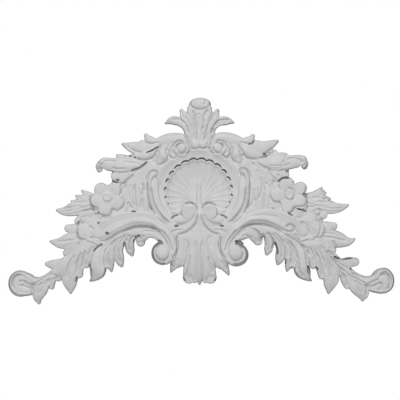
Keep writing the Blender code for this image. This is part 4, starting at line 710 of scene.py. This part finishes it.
def shell(relief):
    """A scallop shell set in a round frame, its flutes spreading from the foot."""
    place, px, pz = relief.window(*SHELL_WINDOW)
    ring = np.hypot(px - SHELL_X, pz - SHELL_Z)
    frame = np.hypot((px - SHELL_X) / FRAME_HALF, (pz - SHELL_Z - FRAME_UP) / FRAME_HALF)
    cove = COVE_FLOOR + COVE_RISE * np.clip((ring - SHELL_RADIUS) / COVE_WIDTH, 0, 1) ** 2
    relief.raise_to(place, np.minimum(cove, FOOT + WALL * FRAME_HALF * (1 - frame)))
    hub_x, hub_z = SHELL_X + HUB_RIGHT, SHELL_Z - HUB_DOWN
    out = np.hypot(px - hub_x, pz - hub_z)
    bend = FLUTE_BEND + (1 - FLUTE_BEND) * np.clip(out / SHELL_RADIUS, 0, 1)
    ray = np.clip(np.arctan2(px - hub_x, pz - hub_z) / bend, -np.pi, np.pi)
    off_x, off_z = hub_x - SHELL_X, hub_z - SHELL_Z
    along = off_x * np.sin(ray) + off_z * np.cos(ray)
    reach = np.sqrt(along ** 2 + SHELL_RADIUS ** 2 - off_x ** 2 - off_z ** 2) - along
    rim = np.arctan2(off_x + reach * np.sin(ray), off_z + reach * np.cos(ray))
    phase = (rim + np.radians(FLUTE_SHIFT)) / np.radians(FLUTE_ANGLE) % 1 - 0.5
    lobe = np.sqrt(np.clip(1 - LOBE_ROUND * phase ** 2, 0, 1))
    span = np.clip(out / reach, 0, 1)
    dish = SHELL_HEIGHT - DISH_DEPTH * np.sin(span * np.pi) ** DISH_CURVE - DISH_FALL * span
    ridge = FLUTE_DEPTH * (2 * np.abs(phase)) ** 3 * np.clip(out / FLUTE_START, 0, 1)
    edge = reach - LOBE_DEPTH * (1 - lobe) - out
    lip = LIP_HEIGHT * np.exp(-((edge - LIP_PLACE) / LIP_WIDTH) ** 2)
    faces = rim + GAP_TURN * phase
    openness = np.clip(GAP_LEAST + GAP_OPENING * np.cos(faces), 0, 1)
    floor = GAP_FLOOR + (COVE_FLOOR - GAP_FLOOR) * (1 - openness)
    face = np.minimum(dish + ridge + lip, floor + GAP_WALL * edge)
    surround = floor + GAP_WALL * np.maximum(-edge - GAP_WIDTH * openness, 0)
    relief.height[place] = np.where(edge > 0, face, np.minimum(relief.height[place], surround))
    relief.stroke([
        (-1, -8, 4.8, 15), (-1.1, 2, 3.8, 14.4), (-1.2, 10, 2.6, 13.2), (-1.2, 18, 1.6, 12)],
        foot=11, wall=1.5)


def frame_scrolls(relief):
    """The two long C scrolls that hold the shell."""
    on_both(relief, [
        (-44.8, 22.4, 2.2, 17.4), (-46.4, 16, 4.9, 18.2), (-47, 10, 5.5, 19), (-45.8, 1, 5.7, 19),
        (-42.5, -7, 5.7, 19), (-37.4, -14.2, 5.6, 19), (-31.2, -21, 5.4, 19), (-27, -29, 5, 19),
        (-25.4, -38, 4, 18.5), (-24.8, -47, 3.2, 17.5), (-26.6, -56, 3, 17), (-29.8, -61, 1.8, 16)],
        crown=0.8, foot=12)
    on_both(relief, [
        (-50.6, 12, 1.9, 19.2), (-50.4, 18.6, 2.2, 19.6), (-49, 23.2, 2.4, 20), (-47, 25.8, 2.4, 20),
        (-45.2, 26, 2.2, 20), (-44.6, 25.2, 1.8, 19.6)], crown=0.7, foot=14)


def twin_volutes(relief):
    """The two small leaves that curl together below the shell."""
    bed = [(0, -13), (-9, -4), (-17, -12), (-27, -20), (-28, -31), (-20, -33), (-8, -28), (-2, -22)]
    plates_on_both(relief, bed, TWIN_BED, foot=12)
    relief.stroke([(-0.5, -8, 2.6, 16.5), (-0.5, -16, 3, 18), (-0.5, -26, 3, 18.6)], crown=0.8, foot=12)
    on_both(relief, [
        (-9, -18.4, 5, 19.5), (-16, -19.4, 5, 19.5), (-23, -19.8, 4.8, 19), (-26.8, -20.8, 3, 17.5)],
        crown=1.6, foot=12)
    on_both(relief, [
        (-6.5, -21, 5, 19.5), (-12.6, -27.8, 4.8, 19.5), (-20, -30.4, 4.4, 18.6),
        (-27.2, -31.4, 2.4, 16.5)], crown=1.4, foot=12)
    balls_on_both(relief, -11.4, -11.2, 7.4, 8.5, 20.6, foot=9)
    on_both(relief, [
        (-11, -25.6, 3.4, 19.5), (-6.6, -19, 4.6, 20.4), (-5.4, -11.6, 3.6, 21), (-7.8, -7.4, 2.9, 21),
        (-11.6, -6.4, 2.2, 20.8)], crown=0.6, foot=18.5)


def pendant(relief):
    """The fluted drop below the twin volutes."""
    on_both(relief, [
        (-19.8, -33, 4.6, 17), (-19.8, -48, 4.6, 17.4), (-22.4, -58, 5.4, 16.4), (-25.2, -64.4, 4.6, 14.5),
        (-27.6, -69, 2.5, 12), (-28.8, -71.6, 1.1, 10)])
    on_both(relief, [
        (-15.2, -33, 4.4, 18), (-14.6, -48, 4.6, 18.2), (-16.2, -58, 4.6, 17.2), (-18.6, -62.8, 3.8, 15.4),
        (-21.6, -66, 1.9, 13)], crown=0.9)
    on_both(relief, [
        (-11, -34, 4.4, 18.6), (-10.6, -50, 5, 18.8), (-11, -62, 5.2, 18.2), (-11.2, -71, 5.4, 16.8),
        (-10.9, -77.4, 6.2, 14)], crown=0.7)
    on_both(relief, [
        (-6, -36, 3.6, 18.8), (-5.2, -50, 3.4, 19), (-5.2, -64, 3.2, 18.4), (-5.4, -74, 3.2, 16.6),
        (-5.3, -80.4, 2.7, 14)], crown=0.7)
    relief.stroke([
        (-0.6, -22.6, 2.2, 18), (-0.6, -30, 7.4, 19), (-0.6, -38, 7.4, 19.3), (-0.6, -46, 4.4, 19.3),
        (-0.6, -58, 3.4, 19), (-0.6, -72, 3.2, 17.6), (-0.6, -79, 3, 15), (-0.4, -84, 1.1, 11)], crown=0.9)


def big_volutes(relief):
    """The broad arch bands, which roll up into the large volutes."""
    on_both(relief, [
        (-97, -43.6, 3, 15), (-87, -38.6, 5.6, 17.5), (-75, -33.6, 6.6, 18.6), (-64, -31.2, 6.4, 18.6),
        (-54, -31.4, 6.3, 18.6), (-46, -33, 5.3, 18.8), (-39.6, -37.2, 4.7, 19), (-34.8, -44, 4, 19)],
        crown=1.2)
    on_both(relief, [
        (-108, -37, 4.4, 14), (-98, -31.2, 10.2, 17), (-87, -25.4, 10.6, 19.4), (-76.5, -20.6, 9.4, 20.5),
        (-66, -18.2, 7.9, 21), (-56, -18.2, 7.2, 21), (-46.5, -20.6, 6.8, 21), (-37.4, -26.6, 6, 21),
        (-31.4, -34.4, 5.2, 21), (-27.9, -43, 4.6, 21), (-26.8, -50, 3.9, 21), (-28.4, -56.4, 3.4, 20.5),
        (-33.4, -61.6, 2.6, 20)], crown=1.3, veins=((0.72, -0.6, 1.1), (0.15, 0.5, 1.8), (-0.4, -0.7, 1.5)),
        foot=14.5)
    relief.ball(-37.4, -53.1, 11.3, 12, 18.6, dome=0.8, wall=4.5)
    relief.ball(36.4, -54.8, 12.2, 11.7, 18.6, dome=0.8, wall=4.5)
    relief.ball(40.2, -44.2, 3.4, 3.2, 12, dome=0.8, wall=4.5)
    relief.stroke([
        (42, -35.2, 5, 17.5), (49, -34.4, 3.8, 17.2), (55, -37.6, 4.8, 16.5), (58, -41, 4.4, 15)],
        crown=1.2)
    on_both(relief, arc(-37.3, -53, 7.8, 8.4, 60, -210, 1.4, 19.6, 14), crown=0.7, foot=17)
    balls_on_both(relief, -37.5, -52.5, 7.4, 7.6, 23, dome=4, foot=17.5)


def hanging_lobes(relief):
    """The leaf tips that hang under the arches, each running down out of the arch."""
    bed = [
        (-48, -33), (-58, -38), (-64, -37.5), (-66.5, -42), (-74, -43), (-77.5, -49), (-78, -56),
        (-84, -60), (-92, -67), (-98, -64), (-97, -46), (-85, -36), (-70, -28), (-55, -28)]
    plates_on_both(relief, bed, LOBE_BED)
    lobes = (
        [(-93, -43.5, 3, 16), (-95.4, -50, 3.4, 16), (-96.2, -58, 3.6, 15), (-96, -66, 3, 13.5)],
        [(-78, -35.5, 2.6, 17.5), (-84, -41, 4, 17), (-89, -48, 4.7, 16.5), (-90.4, -56, 5.1, 15.5),
         (-89.9, -63, 4.2, 14), (-88.9, -69, 2.5, 11.5), (-88.5, -71, 1.2, 10)],
        [(-69, -32, 2.6, 18), (-75, -37, 3.8, 17.5), (-79.5, -43, 4.5, 17), (-81.4, -50, 4.5, 16),
         (-81, -57, 4.9, 15), (-79.4, -63, 3.6, 13), (-78.4, -65.6, 1.8, 11)],
        [(-60, -30.5, 2.6, 18), (-66, -34.5, 3.6, 18), (-69.5, -40, 4.3, 17.5), (-70.4, -46, 4.4, 16.5),
         (-69.2, -51.3, 4, 14.5), (-68, -54.4, 2, 12.5)],
        [(-48, -33.4, 2.6, 18.5), (-54.6, -35.2, 4.4, 18), (-58.8, -38.6, 4.9, 17),
         (-59.2, -42.4, 4.2, 15)])
    for lobe in lobes:
        on_both(relief, lobe, crown=1.3, foot=4)


def long_leaf(relief):
    """The stem that runs out to the end scroll, and the leaf tips that hang from it."""
    bed = [
        (-100, -44), (-112, -40), (-123, -46), (-134, -57), (-146, -68), (-152, -74), (-146, -77),
        (-136, -78), (-126, -74), (-118, -70), (-112, -64), (-108, -58)]
    plates_on_both(relief, bed, STEM_BED)
    tips = (
        [(-152, -79, 4, 13.5), (-157, -85.5, 6.6, 14), (-160.6, -92, 7.1, 13), (-161.8, -98, 4.8, 11.5),
         (-160.9, -102.8, 1.6, 9)],
        [(-147, -76.4, 3.4, 13.5), (-148.2, -82, 3.8, 13), (-148.2, -86.8, 2.7, 11.5)],
        [(-133, -62, 5.6, 15.5), (-137.4, -69, 6.6, 15.5), (-140.8, -74.6, 5.4, 14),
         (-141.6, -77.6, 3.8, 12.5)],
        [(-122.6, -54, 5, 16), (-127, -65, 6, 15.5), (-130, -77, 8.2, 14), (-129.6, -86, 5.8, 12),
         (-129.3, -92.6, 1.4, 9.5)],
        [(-116.6, -50, 4.4, 15.5), (-120.2, -62, 4.4, 15), (-120.6, -74.4, 3.7, 12.5)],
        [(-110, -47, 4.6, 15.5), (-113.4, -57, 4.4, 15), (-114, -64.4, 3.8, 12.5)])
    for tip in tips:
        on_both(relief, tip, crown=1.3, foot=4)
    single_tips = (
        [(-90.6, -58, 4.8, 15.5), (-92.2, -64.8, 3.8, 13)],
        [(150, -78, 5, 13.5), (153.8, -86, 5.2, 13), (157.8, -91.6, 4.6, 12), (161.2, -96.6, 2.6, 10)],
        [(143.8, -73, 3.6, 14), (144.8, -79.8, 4.1, 13), (147.2, -85.6, 3.4, 11.5)],
        [(130, -78, 6.6, 14), (129, -86, 4.7, 12), (128.4, -91.8, 1.6, 9.5)],
        [(118, -60, 4.4, 15), (121, -70, 4.4, 13.5), (122, -75.8, 3.6, 12)],
        [(111, -57, 4.4, 15), (113.4, -65, 3.9, 12.5)],
        [(90, -58, 4.8, 15.5), (91.4, -64.8, 3.8, 13)])
    for tip in single_tips:
        relief.stroke(tip, crown=1.3, foot=4)
    on_both(relief, [
        (-97.6, -46, 3.8, 15), (-101.2, -53, 6, 17), (-102.4, -61, 7.4, 17.5), (-102.2, -70, 8.3, 16.5),
        (-104.6, -75.4, 6.2, 14), (-107.4, -79.2, 2.6, 11.5), (-109.4, -80.6, 1, 9)], crown=1.6, wall=9)
    on_both(relief, [
        (-104, -42, 5, 16), (-114, -46.6, 7, 17), (-124, -54.4, 6.6, 17), (-134, -63.4, 5.9, 16.5),
        (-143, -71.2, 4.6, 15.5), (-152, -77, 3.2, 15), (-161, -80.8, 3, 15)], crown=1.3, foot=11)
    relief.stroke([(-131, -61.4, 4.6, 15), (-141, -64.2, 5.1, 14.5), (-149, -64.4, 4.1, 13),
                   (-152.6, -64, 2.5, 11.5)])
    relief.stroke([(131, -60, 4.4, 15), (141, -63.4, 5.2, 14.5), (149, -62.4, 5.4, 13),
                   (155, -61.8, 4.3, 11.5)])
    on_both(relief, [
        (-111, -39.6, 2.4, 17.5), (-105.6, -40.8, 2.6, 17.5), (-100.6, -43.6, 2.2, 16.5)], foot=13)


def end_scroll(relief):
    """The rolled end of the stem. The right one turns up more sharply."""
    knobs = ((-179.4, -83.6, 12.2, 13.2, 14), (-168, -87.6, 6, 6.4, 12), (181.8, -80.4, 11.6, 12.4, 14),
             (172.4, -85, 6, 6.2, 12))
    for knob in knobs:
        relief.ball(*knob, wall=9)
    curls = (
        [(-158, -81, 2.4, 15), (-166, -81, 3.4, 15.5), (-173, -78.6, 4.8, 15.5), (-179, -79, 5.4, 15.5),
         (-182.4, -84, 5.4, 15), (-179.4, -88.6, 4.8, 14.5), (-173, -90, 4.4, 14)],
        [(156, -78.4, 2.8, 15), (164, -80.8, 3.6, 15.5), (171, -80.8, 4, 15.5), (178, -78.6, 4.6, 15.5),
         (183.4, -80.6, 5, 15.5), (184, -84.6, 4.8, 15), (180, -87, 4.4, 14.5), (174, -87.4, 4, 14)])
    rims = (
        [(-159, -80.4, 1.6, 15), (-167, -79.8, 1.9, 15.5), (-174, -75.4, 2.2, 16),
         (-180.6, -72.8, 2.2, 16.5), (-186.2, -75.6, 2.2, 16.5), (-188.9, -81.8, 2.2, 16.5),
         (-187.4, -88.6, 2.2, 16.5), (-182.6, -92.6, 2.1, 16), (-176, -93.8, 2.1, 15.5),
         (-169.4, -93.2, 1.9, 14)],
        [(152, -72.6, 1.8, 15), (160, -76.8, 2, 15.5), (168, -79.1, 2, 15.5), (174.6, -78, 2.1, 16),
         (179.8, -73.4, 2.2, 16.5), (183.2, -70.2, 2.2, 16.5), (187, -71.2, 2.3, 16.5),
         (190.6, -75.4, 2.3, 16.5), (191.7, -81, 2.3, 16.5), (190.2, -86.8, 2.3, 16.5),
         (186, -90.4, 2.2, 16), (179.6, -91.3, 2.1, 15.5), (172, -90, 1.8, 14.5), (168.4, -88.8, 1.2, 13)])
    for curl in curls:
        relief.stroke(curl, foot=12, wall=9)
    for rim in rims:
        relief.stroke(rim, crown=0.9, foot=3, wall=9)


def flower(relief, x, z, petals, height):
    """Broad flat petals round a button. A petal is its direction, its distance and its radius."""
    relief.ball(x, z, 12, 11.5, height - 0.8, dome=0.4, foot=9)
    for direction, distance, radius in petals:
        a = np.radians(direction)
        across, up = distance * np.cos(a), distance * np.sin(a)
        stations = [(x + out * across, z + out * up, half * radius, height + rise)
                    for out, half, rise in PETAL]
        relief.stroke(stations, crown=0.9, foot=8, veins=((0, 0.3, 1.4),))
    relief.ball(x, z, 4.9, 4.9, height + 0.2, dome=0.5, foot=height - 3)
    relief.stroke(arc(x, z, 3.4, 3.4, 0, 360, 0.9, height + 0.6, 13), crown=0.4, foot=height - 1)


def flowers(relief):
    """The open flower on each side, and the half hidden one below it."""
    petals = ((-114.6, -31, 8.6, 15.6), (-106.4, -22.4, 8.4, 15.4), (-100.4, -30, 8.6, 16.6),
              (-109.4, -34.8, 6.8, 15.6))
    for x, z, radius, top in petals:
        balls_on_both(relief, x, z, radius, radius * 0.95, top, dome=1.2, foot=9)
    on_both(relief, [
        (-100, -9.6, 2.6, 13.5), (-108, -12.4, 3, 13.6), (-116, -14.2, 2.8, 13), (-121, -18.6, 2.6, 12)])
    on_both(relief, [
        (-95, -18, 3.6, 16), (-102, -15.4, 3, 15.5), (-109.4, -17.6, 2.8, 14.6), (-116, -20, 3.2, 14)])
    ground_plan = [
        (-107, -3), (-101, 6), (-92, 12), (-80, 16), (-74, 8), (-72, -9), (-80, -16), (-95, -18),
        (-105, -13)]
    plates_on_both(relief, ground_plan, FLOWER_BED)
    relief.ball(-122.4, -21, 3.2, 3.4, 12.5)
    relief.ball(124.8, -15.2, 2.6, 3.2, 12)
    left = ((133, 9.6, 6.7), (46, 10.4, 7.2), (-29, 11, 7.6), (-101, 11.6, 7.4), (197, 10.6, 7.5))
    flower(relief, -92.3, 3.2, left, 18.6)
    right = ((105, 10.2, 7.8), (29, 13, 6.2), (-36, 13.2, 7.2), (-98, 11, 7), (180, 12.6, 6.8))
    flower(relief, 89.2, 5.4, right, 18.6)


def outer_leaves(relief):
    """The toothed leaf and the broad leaf at each side. The right ones are fuller."""
    teeth = (
        ((-104, -1), (-112.4, 4.8), (-118, 9.4)), ((-112, -2), (-119.6, 1.6), (-124, 4.4)),
        ((-118, -5), (-125, -3), (-128.4, -1)), ((-124, -8), (-130.6, -7.2), (-134.4, -7)),
        ((105, 1), (114, 4.8), (121.6, 12)), ((110, 1), (118, 4.4), (125.4, 7.2)),
        ((109, 1), (117, 5.6), (123.6, 9.2)),
        ((116, -2), (123.6, 1.2), (129.8, 1.2)), ((124, -5), (131, -4.6), (137, -5.4)),
    )
    for root, middle, tip in teeth:
        relief.stroke([
            (*root, 5.4, 11.5), (*middle, 3.9, 11), (*tip, 1, 8.5)], crown=1.2, veins=((0, 0.7, 0.6),),
            wall=LEAF_WALL if root[0] > 0 else WALL)
    on_both(relief, [
        (-101, -3, 6.6, 11.5), (-114, -6, 7.6, 12), (-127, -9.6, 6.5, 11.5), (-136, -11.2, 4.4, 10.5),
        (-142.6, -10.2, 1.5, 9)], crown=1.4, veins=((0.1, 1, 0.8), (-0.5, 0.6, 0.8), (0.6, 0.5, 0.7)))
    on_both(relief, [(-119, -30.6, 6.4, 12), (-127, -29.6, 6, 12), (-131.6, -28.4, 3.9, 11)], crown=1.2)
    on_both(relief, [
        (-119, -42, 7, 12.5), (-128, -47.4, 6.6, 12), (-132.6, -53, 4.4, 11)], crown=1.2,
        veins=((0, 0.6, 0.9),))
    broad = (
        [(-116, -37, 6, 12.5), (-127, -40, 7.4, 12.5), (-138, -42.8, 6, 11.5), (-145, -42.4, 3.4, 10.5),
         (-149.4, -41.4, 1.2, 9)],
        [(118, -35, 6, 12.5), (129, -37.4, 8, 12.5), (138, -39.8, 8, 12), (146, -41.5, 5.2, 11),
         (151.4, -40.8, 2.6, 10), (154.4, -39.1, 1, 9)])
    for leaf, wall in zip(broad, (WALL, LEAF_WALL)):
        relief.stroke(leaf, crown=1.4, veins=((0, 0.7, 0.8), (0.5, 0.4, 0.8)), wall=wall)
    on_both(relief, [(-124, -35, 5, 11.8), (-135, -38.2, 3.4, 11)])


def fill_gaps(relief):
    """Raises the narrow gaps between neighbouring folds to a step below them."""
    cell = relief.x[1] - relief.x[0]
    n = int(round(GAP_REACH / cell))
    rows, columns = relief.height.shape
    disc = [(i, j) for i in range(2 * n + 1) for j in range(2 * n + 1)
            if np.hypot(i - n, j - n) <= n + DISC_MARGIN]
    spread = relief.height
    for pick in (np.maximum, np.minimum):
        padded = np.pad(spread, n, mode="edge")
        spread = pick.reduce([padded[i:i + rows, j:j + columns] for i, j in disc])
    px, pz = np.meshgrid(relief.x, relief.z)
    far = np.hypot(px - SHELL_X, pz - SHELL_Z) > SHELL_RADIUS + BESIDE_SHELL
    away_from_shell = far | (pz < SHELL_Z - BELOW_SHELL)
    filled = (relief.height > FILLED_ABOVE) & away_from_shell
    relief.height = np.where(filled, np.maximum(relief.height, spread - GAP_STEP), relief.height)


def carving(cell):
    """The relief with all its forms, before the narrow lines and the deep gaps are cut."""
    relief = Relief(cell)
    ground(relief)
    outer_leaves(relief)
    flowers(relief)
    hanging_lobes(relief)
    long_leaf(relief)
    end_scroll(relief)
    husks(relief)
    side_leaves(relief)
    finial(relief)
    shell(relief)
    crest(relief)
    pendant(relief)
    frame_scrolls(relief)
    twin_volutes(relief)
    big_volutes(relief)
    fill_gaps(relief)
    return relief


def cut(relief, stations):
    """A deep narrow gap. Each station is x, z, half width, height of its floor."""
    place, distance, _, _, half, floor = relief.along(stations, WIDE_MARGIN)
    lowered = floor + GAP_WALL * np.maximum(distance - half, 0)
    relief.height[place] = np.minimum(relief.height[place], lowered)


def engrave(relief, stations):
    """A shallow line that fades out at both ends. Each station is x, z, width, depth."""
    place, distance, _, share, width, depth = relief.along(stations, MARGIN)
    fade = np.clip(share / LINE_FADE, 0, 1) * np.clip((1 - share) / LINE_FADE, 0, 1)
    local = relief.height[place]
    lowered = local - depth * fade * np.exp(-(distance / width) ** 2)
    relief.height[place] = np.where(local > ENGRAVED_ABOVE, lowered, local)


def creases(relief):
    """The narrow lines between the folds, each with its depth and its width."""
    def stations(depth, width, *line):
        return [(x, z, width, depth * CREASE_STRENGTH) for x, z in zip(line[::2], line[1::2])]

    for row in CREASES + LEFT_CREASES:
        engrave(relief, stations(*row))
    for row in CREASES:
        engrave(relief, turned_over(stations(*row)))
    for row in RIGHT_CREASES + MIDDLE_CREASES:
        engrave(relief, stations(*row))


def crevices(relief):
    """The deep dark gaps, each with its floor."""
    def stations(floor, *line):
        return [(x, z, half, floor) for x, z, half in zip(line[::3], line[1::3], line[2::3])]

    for row in CREVICES + LEFT_CREVICES + RIGHT_CREVICES:
        cut(relief, stations(*row))
    for row in CREVICES:
        cut(relief, turned_over(stations(*row)))


def front_surface(relief):
    """A grid lifted to the height of the carving, without the cells that stay outside it."""
    columns, rows = len(relief.x), len(relief.z)
    bpy.ops.mesh.primitive_grid_add(x_subdivisions=columns - 1, y_subdivisions=rows - 1, size=1)
    grid = bpy.context.object
    mesh = grid.data
    flat = np.empty(len(mesh.vertices) * 3)
    mesh.vertices.foreach_get("co", flat)
    flat = flat.reshape(-1, 3)
    column = np.rint((flat[:, 0] - flat[:, 0].min()) / np.ptp(flat[:, 0]) * (columns - 1)).astype(int)
    row = np.rint((flat[:, 1] - flat[:, 1].min()) / np.ptp(flat[:, 1]) * (rows - 1)).astype(int)
    height = relief.height[row, column]
    placed = np.stack([relief.x[column] * UNIT, -height * RISE, relief.z[row] * UNIT], axis=1)
    mesh.vertices.foreach_set("co", placed.ravel())
    bm = bmesh.new()
    bm.from_mesh(mesh)
    outside = [f for f in bm.faces if max(-v.co.y for v in f.verts) < 0]
    bmesh.ops.delete(bm, geom=outside, context="FACES")
    bmesh.ops.triangulate(bm, faces=bm.faces)
    bm.to_mesh(mesh)
    bm.free()
    return grid


def thin_out(piece, triangles):
    """Fewer triangles where the carving is plain."""
    modifier = piece.modifiers.new("thin out", "DECIMATE")
    modifier.ratio = min(1.0, triangles / len(piece.data.polygons))
    bpy.context.view_layer.objects.active = piece
    bpy.ops.object.modifier_apply(modifier=modifier.name)


def close_at_back(piece):
    """Cut the carving off at the back plane, and close it there with a flat face."""
    bm = bmesh.new()
    bm.from_mesh(piece.data)
    for v in bm.verts:
        if abs(v.co.y) < CLEAR_OF_BACK:
            v.co.y = CLEAR_OF_BACK
    everything = bm.verts[:] + bm.edges[:] + bm.faces[:]
    bmesh.ops.bisect_plane(bm, geom=everything, dist=SNAP / 10, plane_co=(0, 0, 0), plane_no=(0, 1, 0),
                           clear_outer=True)
    for v in bm.verts:
        if abs(v.co.y) < SNAP:
            v.co.y = 0
    rim = [e for e in bm.edges if e.is_boundary]
    bmesh.ops.triangle_fill(bm, use_beauty=True, edges=rim, normal=(0, 1, 0))
    bmesh.ops.recalc_face_normals(bm, faces=bm.faces)
    bm.to_mesh(piece.data)
    bm.free()


def primer():
    """Smooth factory primer: matt light grey, a little uneven in tone."""
    material = bpy.data.materials.new("factory primer")
    material.use_nodes = True
    nodes, links = material.node_tree.nodes, material.node_tree.links
    shader = nodes["Principled BSDF"]
    shader.inputs["Roughness"].default_value = PRIMER_ROUGHNESS
    shader.inputs["Specular IOR Level"].default_value = PRIMER_SHINE
    where = nodes.new("ShaderNodeTexCoord")
    cloud = nodes.new("ShaderNodeTexNoise")
    cloud.inputs["Scale"].default_value = CLOUD_SCALE
    cloud.inputs["Detail"].default_value = CLOUD_DETAIL
    cloud.inputs["Roughness"].default_value = CLOUD_ROUGHNESS
    tone = nodes.new("ShaderNodeValToRGB")
    tone.color_ramp.elements[0].position = DARK_UP_TO
    tone.color_ramp.elements[0].color = (*PRIMER_DARK, 1)
    tone.color_ramp.elements[1].position = LIGHT_FROM
    tone.color_ramp.elements[1].color = (*PRIMER_LIGHT, 1)
    grain = nodes.new("ShaderNodeTexNoise")
    grain.inputs["Scale"].default_value = GRAIN_SCALE
    grain.inputs["Detail"].default_value = GRAIN_DETAIL
    bump = nodes.new("ShaderNodeBump")
    bump.inputs["Strength"].default_value = GRAIN_STRENGTH
    bump.inputs["Distance"].default_value = GRAIN_HEIGHT
    links.new(where.outputs["Object"], cloud.inputs["Vector"])
    links.new(where.outputs["Object"], grain.inputs["Vector"])
    links.new(cloud.outputs["Fac"], tone.inputs["Fac"])
    links.new(tone.outputs["Color"], shader.inputs["Base Color"])
    links.new(grain.outputs["Fac"], bump.inputs["Height"])
    links.new(bump.outputs["Normal"], shader.inputs["Normal"])
    return material


def keep_inside(piece, box):
    """Tips of the fine carving that reach past the solid's box are brought back to it."""
    low, high = np.array(box)
    flat = np.empty(len(piece.data.vertices) * 3)
    piece.data.vertices.foreach_get("co", flat)
    flat = np.clip(flat.reshape(-1, 3), low, high)
    piece.data.vertices.foreach_set("co", flat.ravel())


def carved_piece(box):
    """The whole carving in fine mesh, in place of the CAD solid."""
    relief = carving(CELL)
    creases(relief)
    crevices(relief)
    piece = front_surface(relief)
    piece.name = piece.data.name = "onlay_carving"
    thin_out(piece, TRIANGLES)
    close_at_back(piece)
    keep_inside(piece, box)
    piece.data.materials.append(primer())
    piece.data.shade_smooth()
    piece.data.set_sharp_from_angle(angle=np.radians(SHARP_ANGLE))
    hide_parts("scroll_onlay")
    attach(piece, "root")


def plain_floor():
    """A round pale floor under the onlay."""
    bpy.ops.mesh.primitive_cylinder_add(vertices=FLOOR_SIDES, radius=FLOOR_RADIUS,
                                        depth=FLOOR_THICKNESS, location=(0, 0, FLOOR_LEVEL))
    floor = bpy.context.object
    floor.name = "floor"
    material = bpy.data.materials.new("pale floor")
    material.use_nodes = True
    shader = material.node_tree.nodes["Principled BSDF"]
    shader.inputs["Base Color"].default_value = (*FLOOR_COLOUR, 1)
    shader.inputs["Roughness"].default_value = FLOOR_ROUGHNESS
    floor.data.materials.append(material)


def area_light(name, place, size, power):
    """A square softbox that looks at the middle of the onlay."""
    lamp = bpy.data.lights.new(name, "AREA")
    lamp.shape = "SQUARE"
    lamp.size = size
    lamp.energy = power
    holder = bpy.data.objects.new(name, lamp)
    holder.location = place
    holder.rotation_euler = (-holder.location).to_track_quat("-Z", "Y").to_euler()
    bpy.context.scene.collection.objects.link(holder)


def studio():
    """Soft light from the front and above, and a white ground behind the onlay."""
    world = bpy.data.worlds.new("studio")
    bpy.context.scene.world = world
    world.use_nodes = True
    nodes, links = world.node_tree.nodes, world.node_tree.links
    nodes.clear()
    seen = nodes.new("ShaderNodeBackground")
    seen.inputs["Color"].default_value = (1, 1, 1, 1)
    seen.inputs["Strength"].default_value = 1.0
    around = nodes.new("ShaderNodeBackground")
    around.inputs["Color"].default_value = (1, 1, 1, 1)
    around.inputs["Strength"].default_value = AMBIENT
    path = nodes.new("ShaderNodeLightPath")
    mix = nodes.new("ShaderNodeMixShader")
    out = nodes.new("ShaderNodeOutputWorld")
    links.new(path.outputs["Is Camera Ray"], mix.inputs["Fac"])
    links.new(around.outputs["Background"], mix.inputs[1])
    links.new(seen.outputs["Background"], mix.inputs[2])
    links.new(mix.outputs["Shader"], out.inputs["Surface"])
    for name, place, size, power in SOFTBOXES:
        area_light(name, place, size, power)
    bpy.context.scene.view_settings.view_transform = "Standard"


def camera():
    """Straight on, from far enough away that the side walls hardly show, as in the photograph."""
    lens = bpy.data.cameras.new("camera")
    lens.sensor_width = SENSOR
    lens.lens = SENSOR * CAMERA_DISTANCE / PICTURE_WIDTH
    lens.clip_end = 4 * CAMERA_DISTANCE
    holder = bpy.data.objects.new("camera", lens)
    holder.location = (PICTURE_MIDDLE[0], -CAMERA_DISTANCE, PICTURE_MIDDLE[1])
    holder.rotation_euler = (np.radians(90), 0, 0)
    bpy.context.scene.collection.objects.link(holder)
    bpy.context.scene.camera = holder


carved_piece(cad_box)
plain_floor()
studio()
camera()
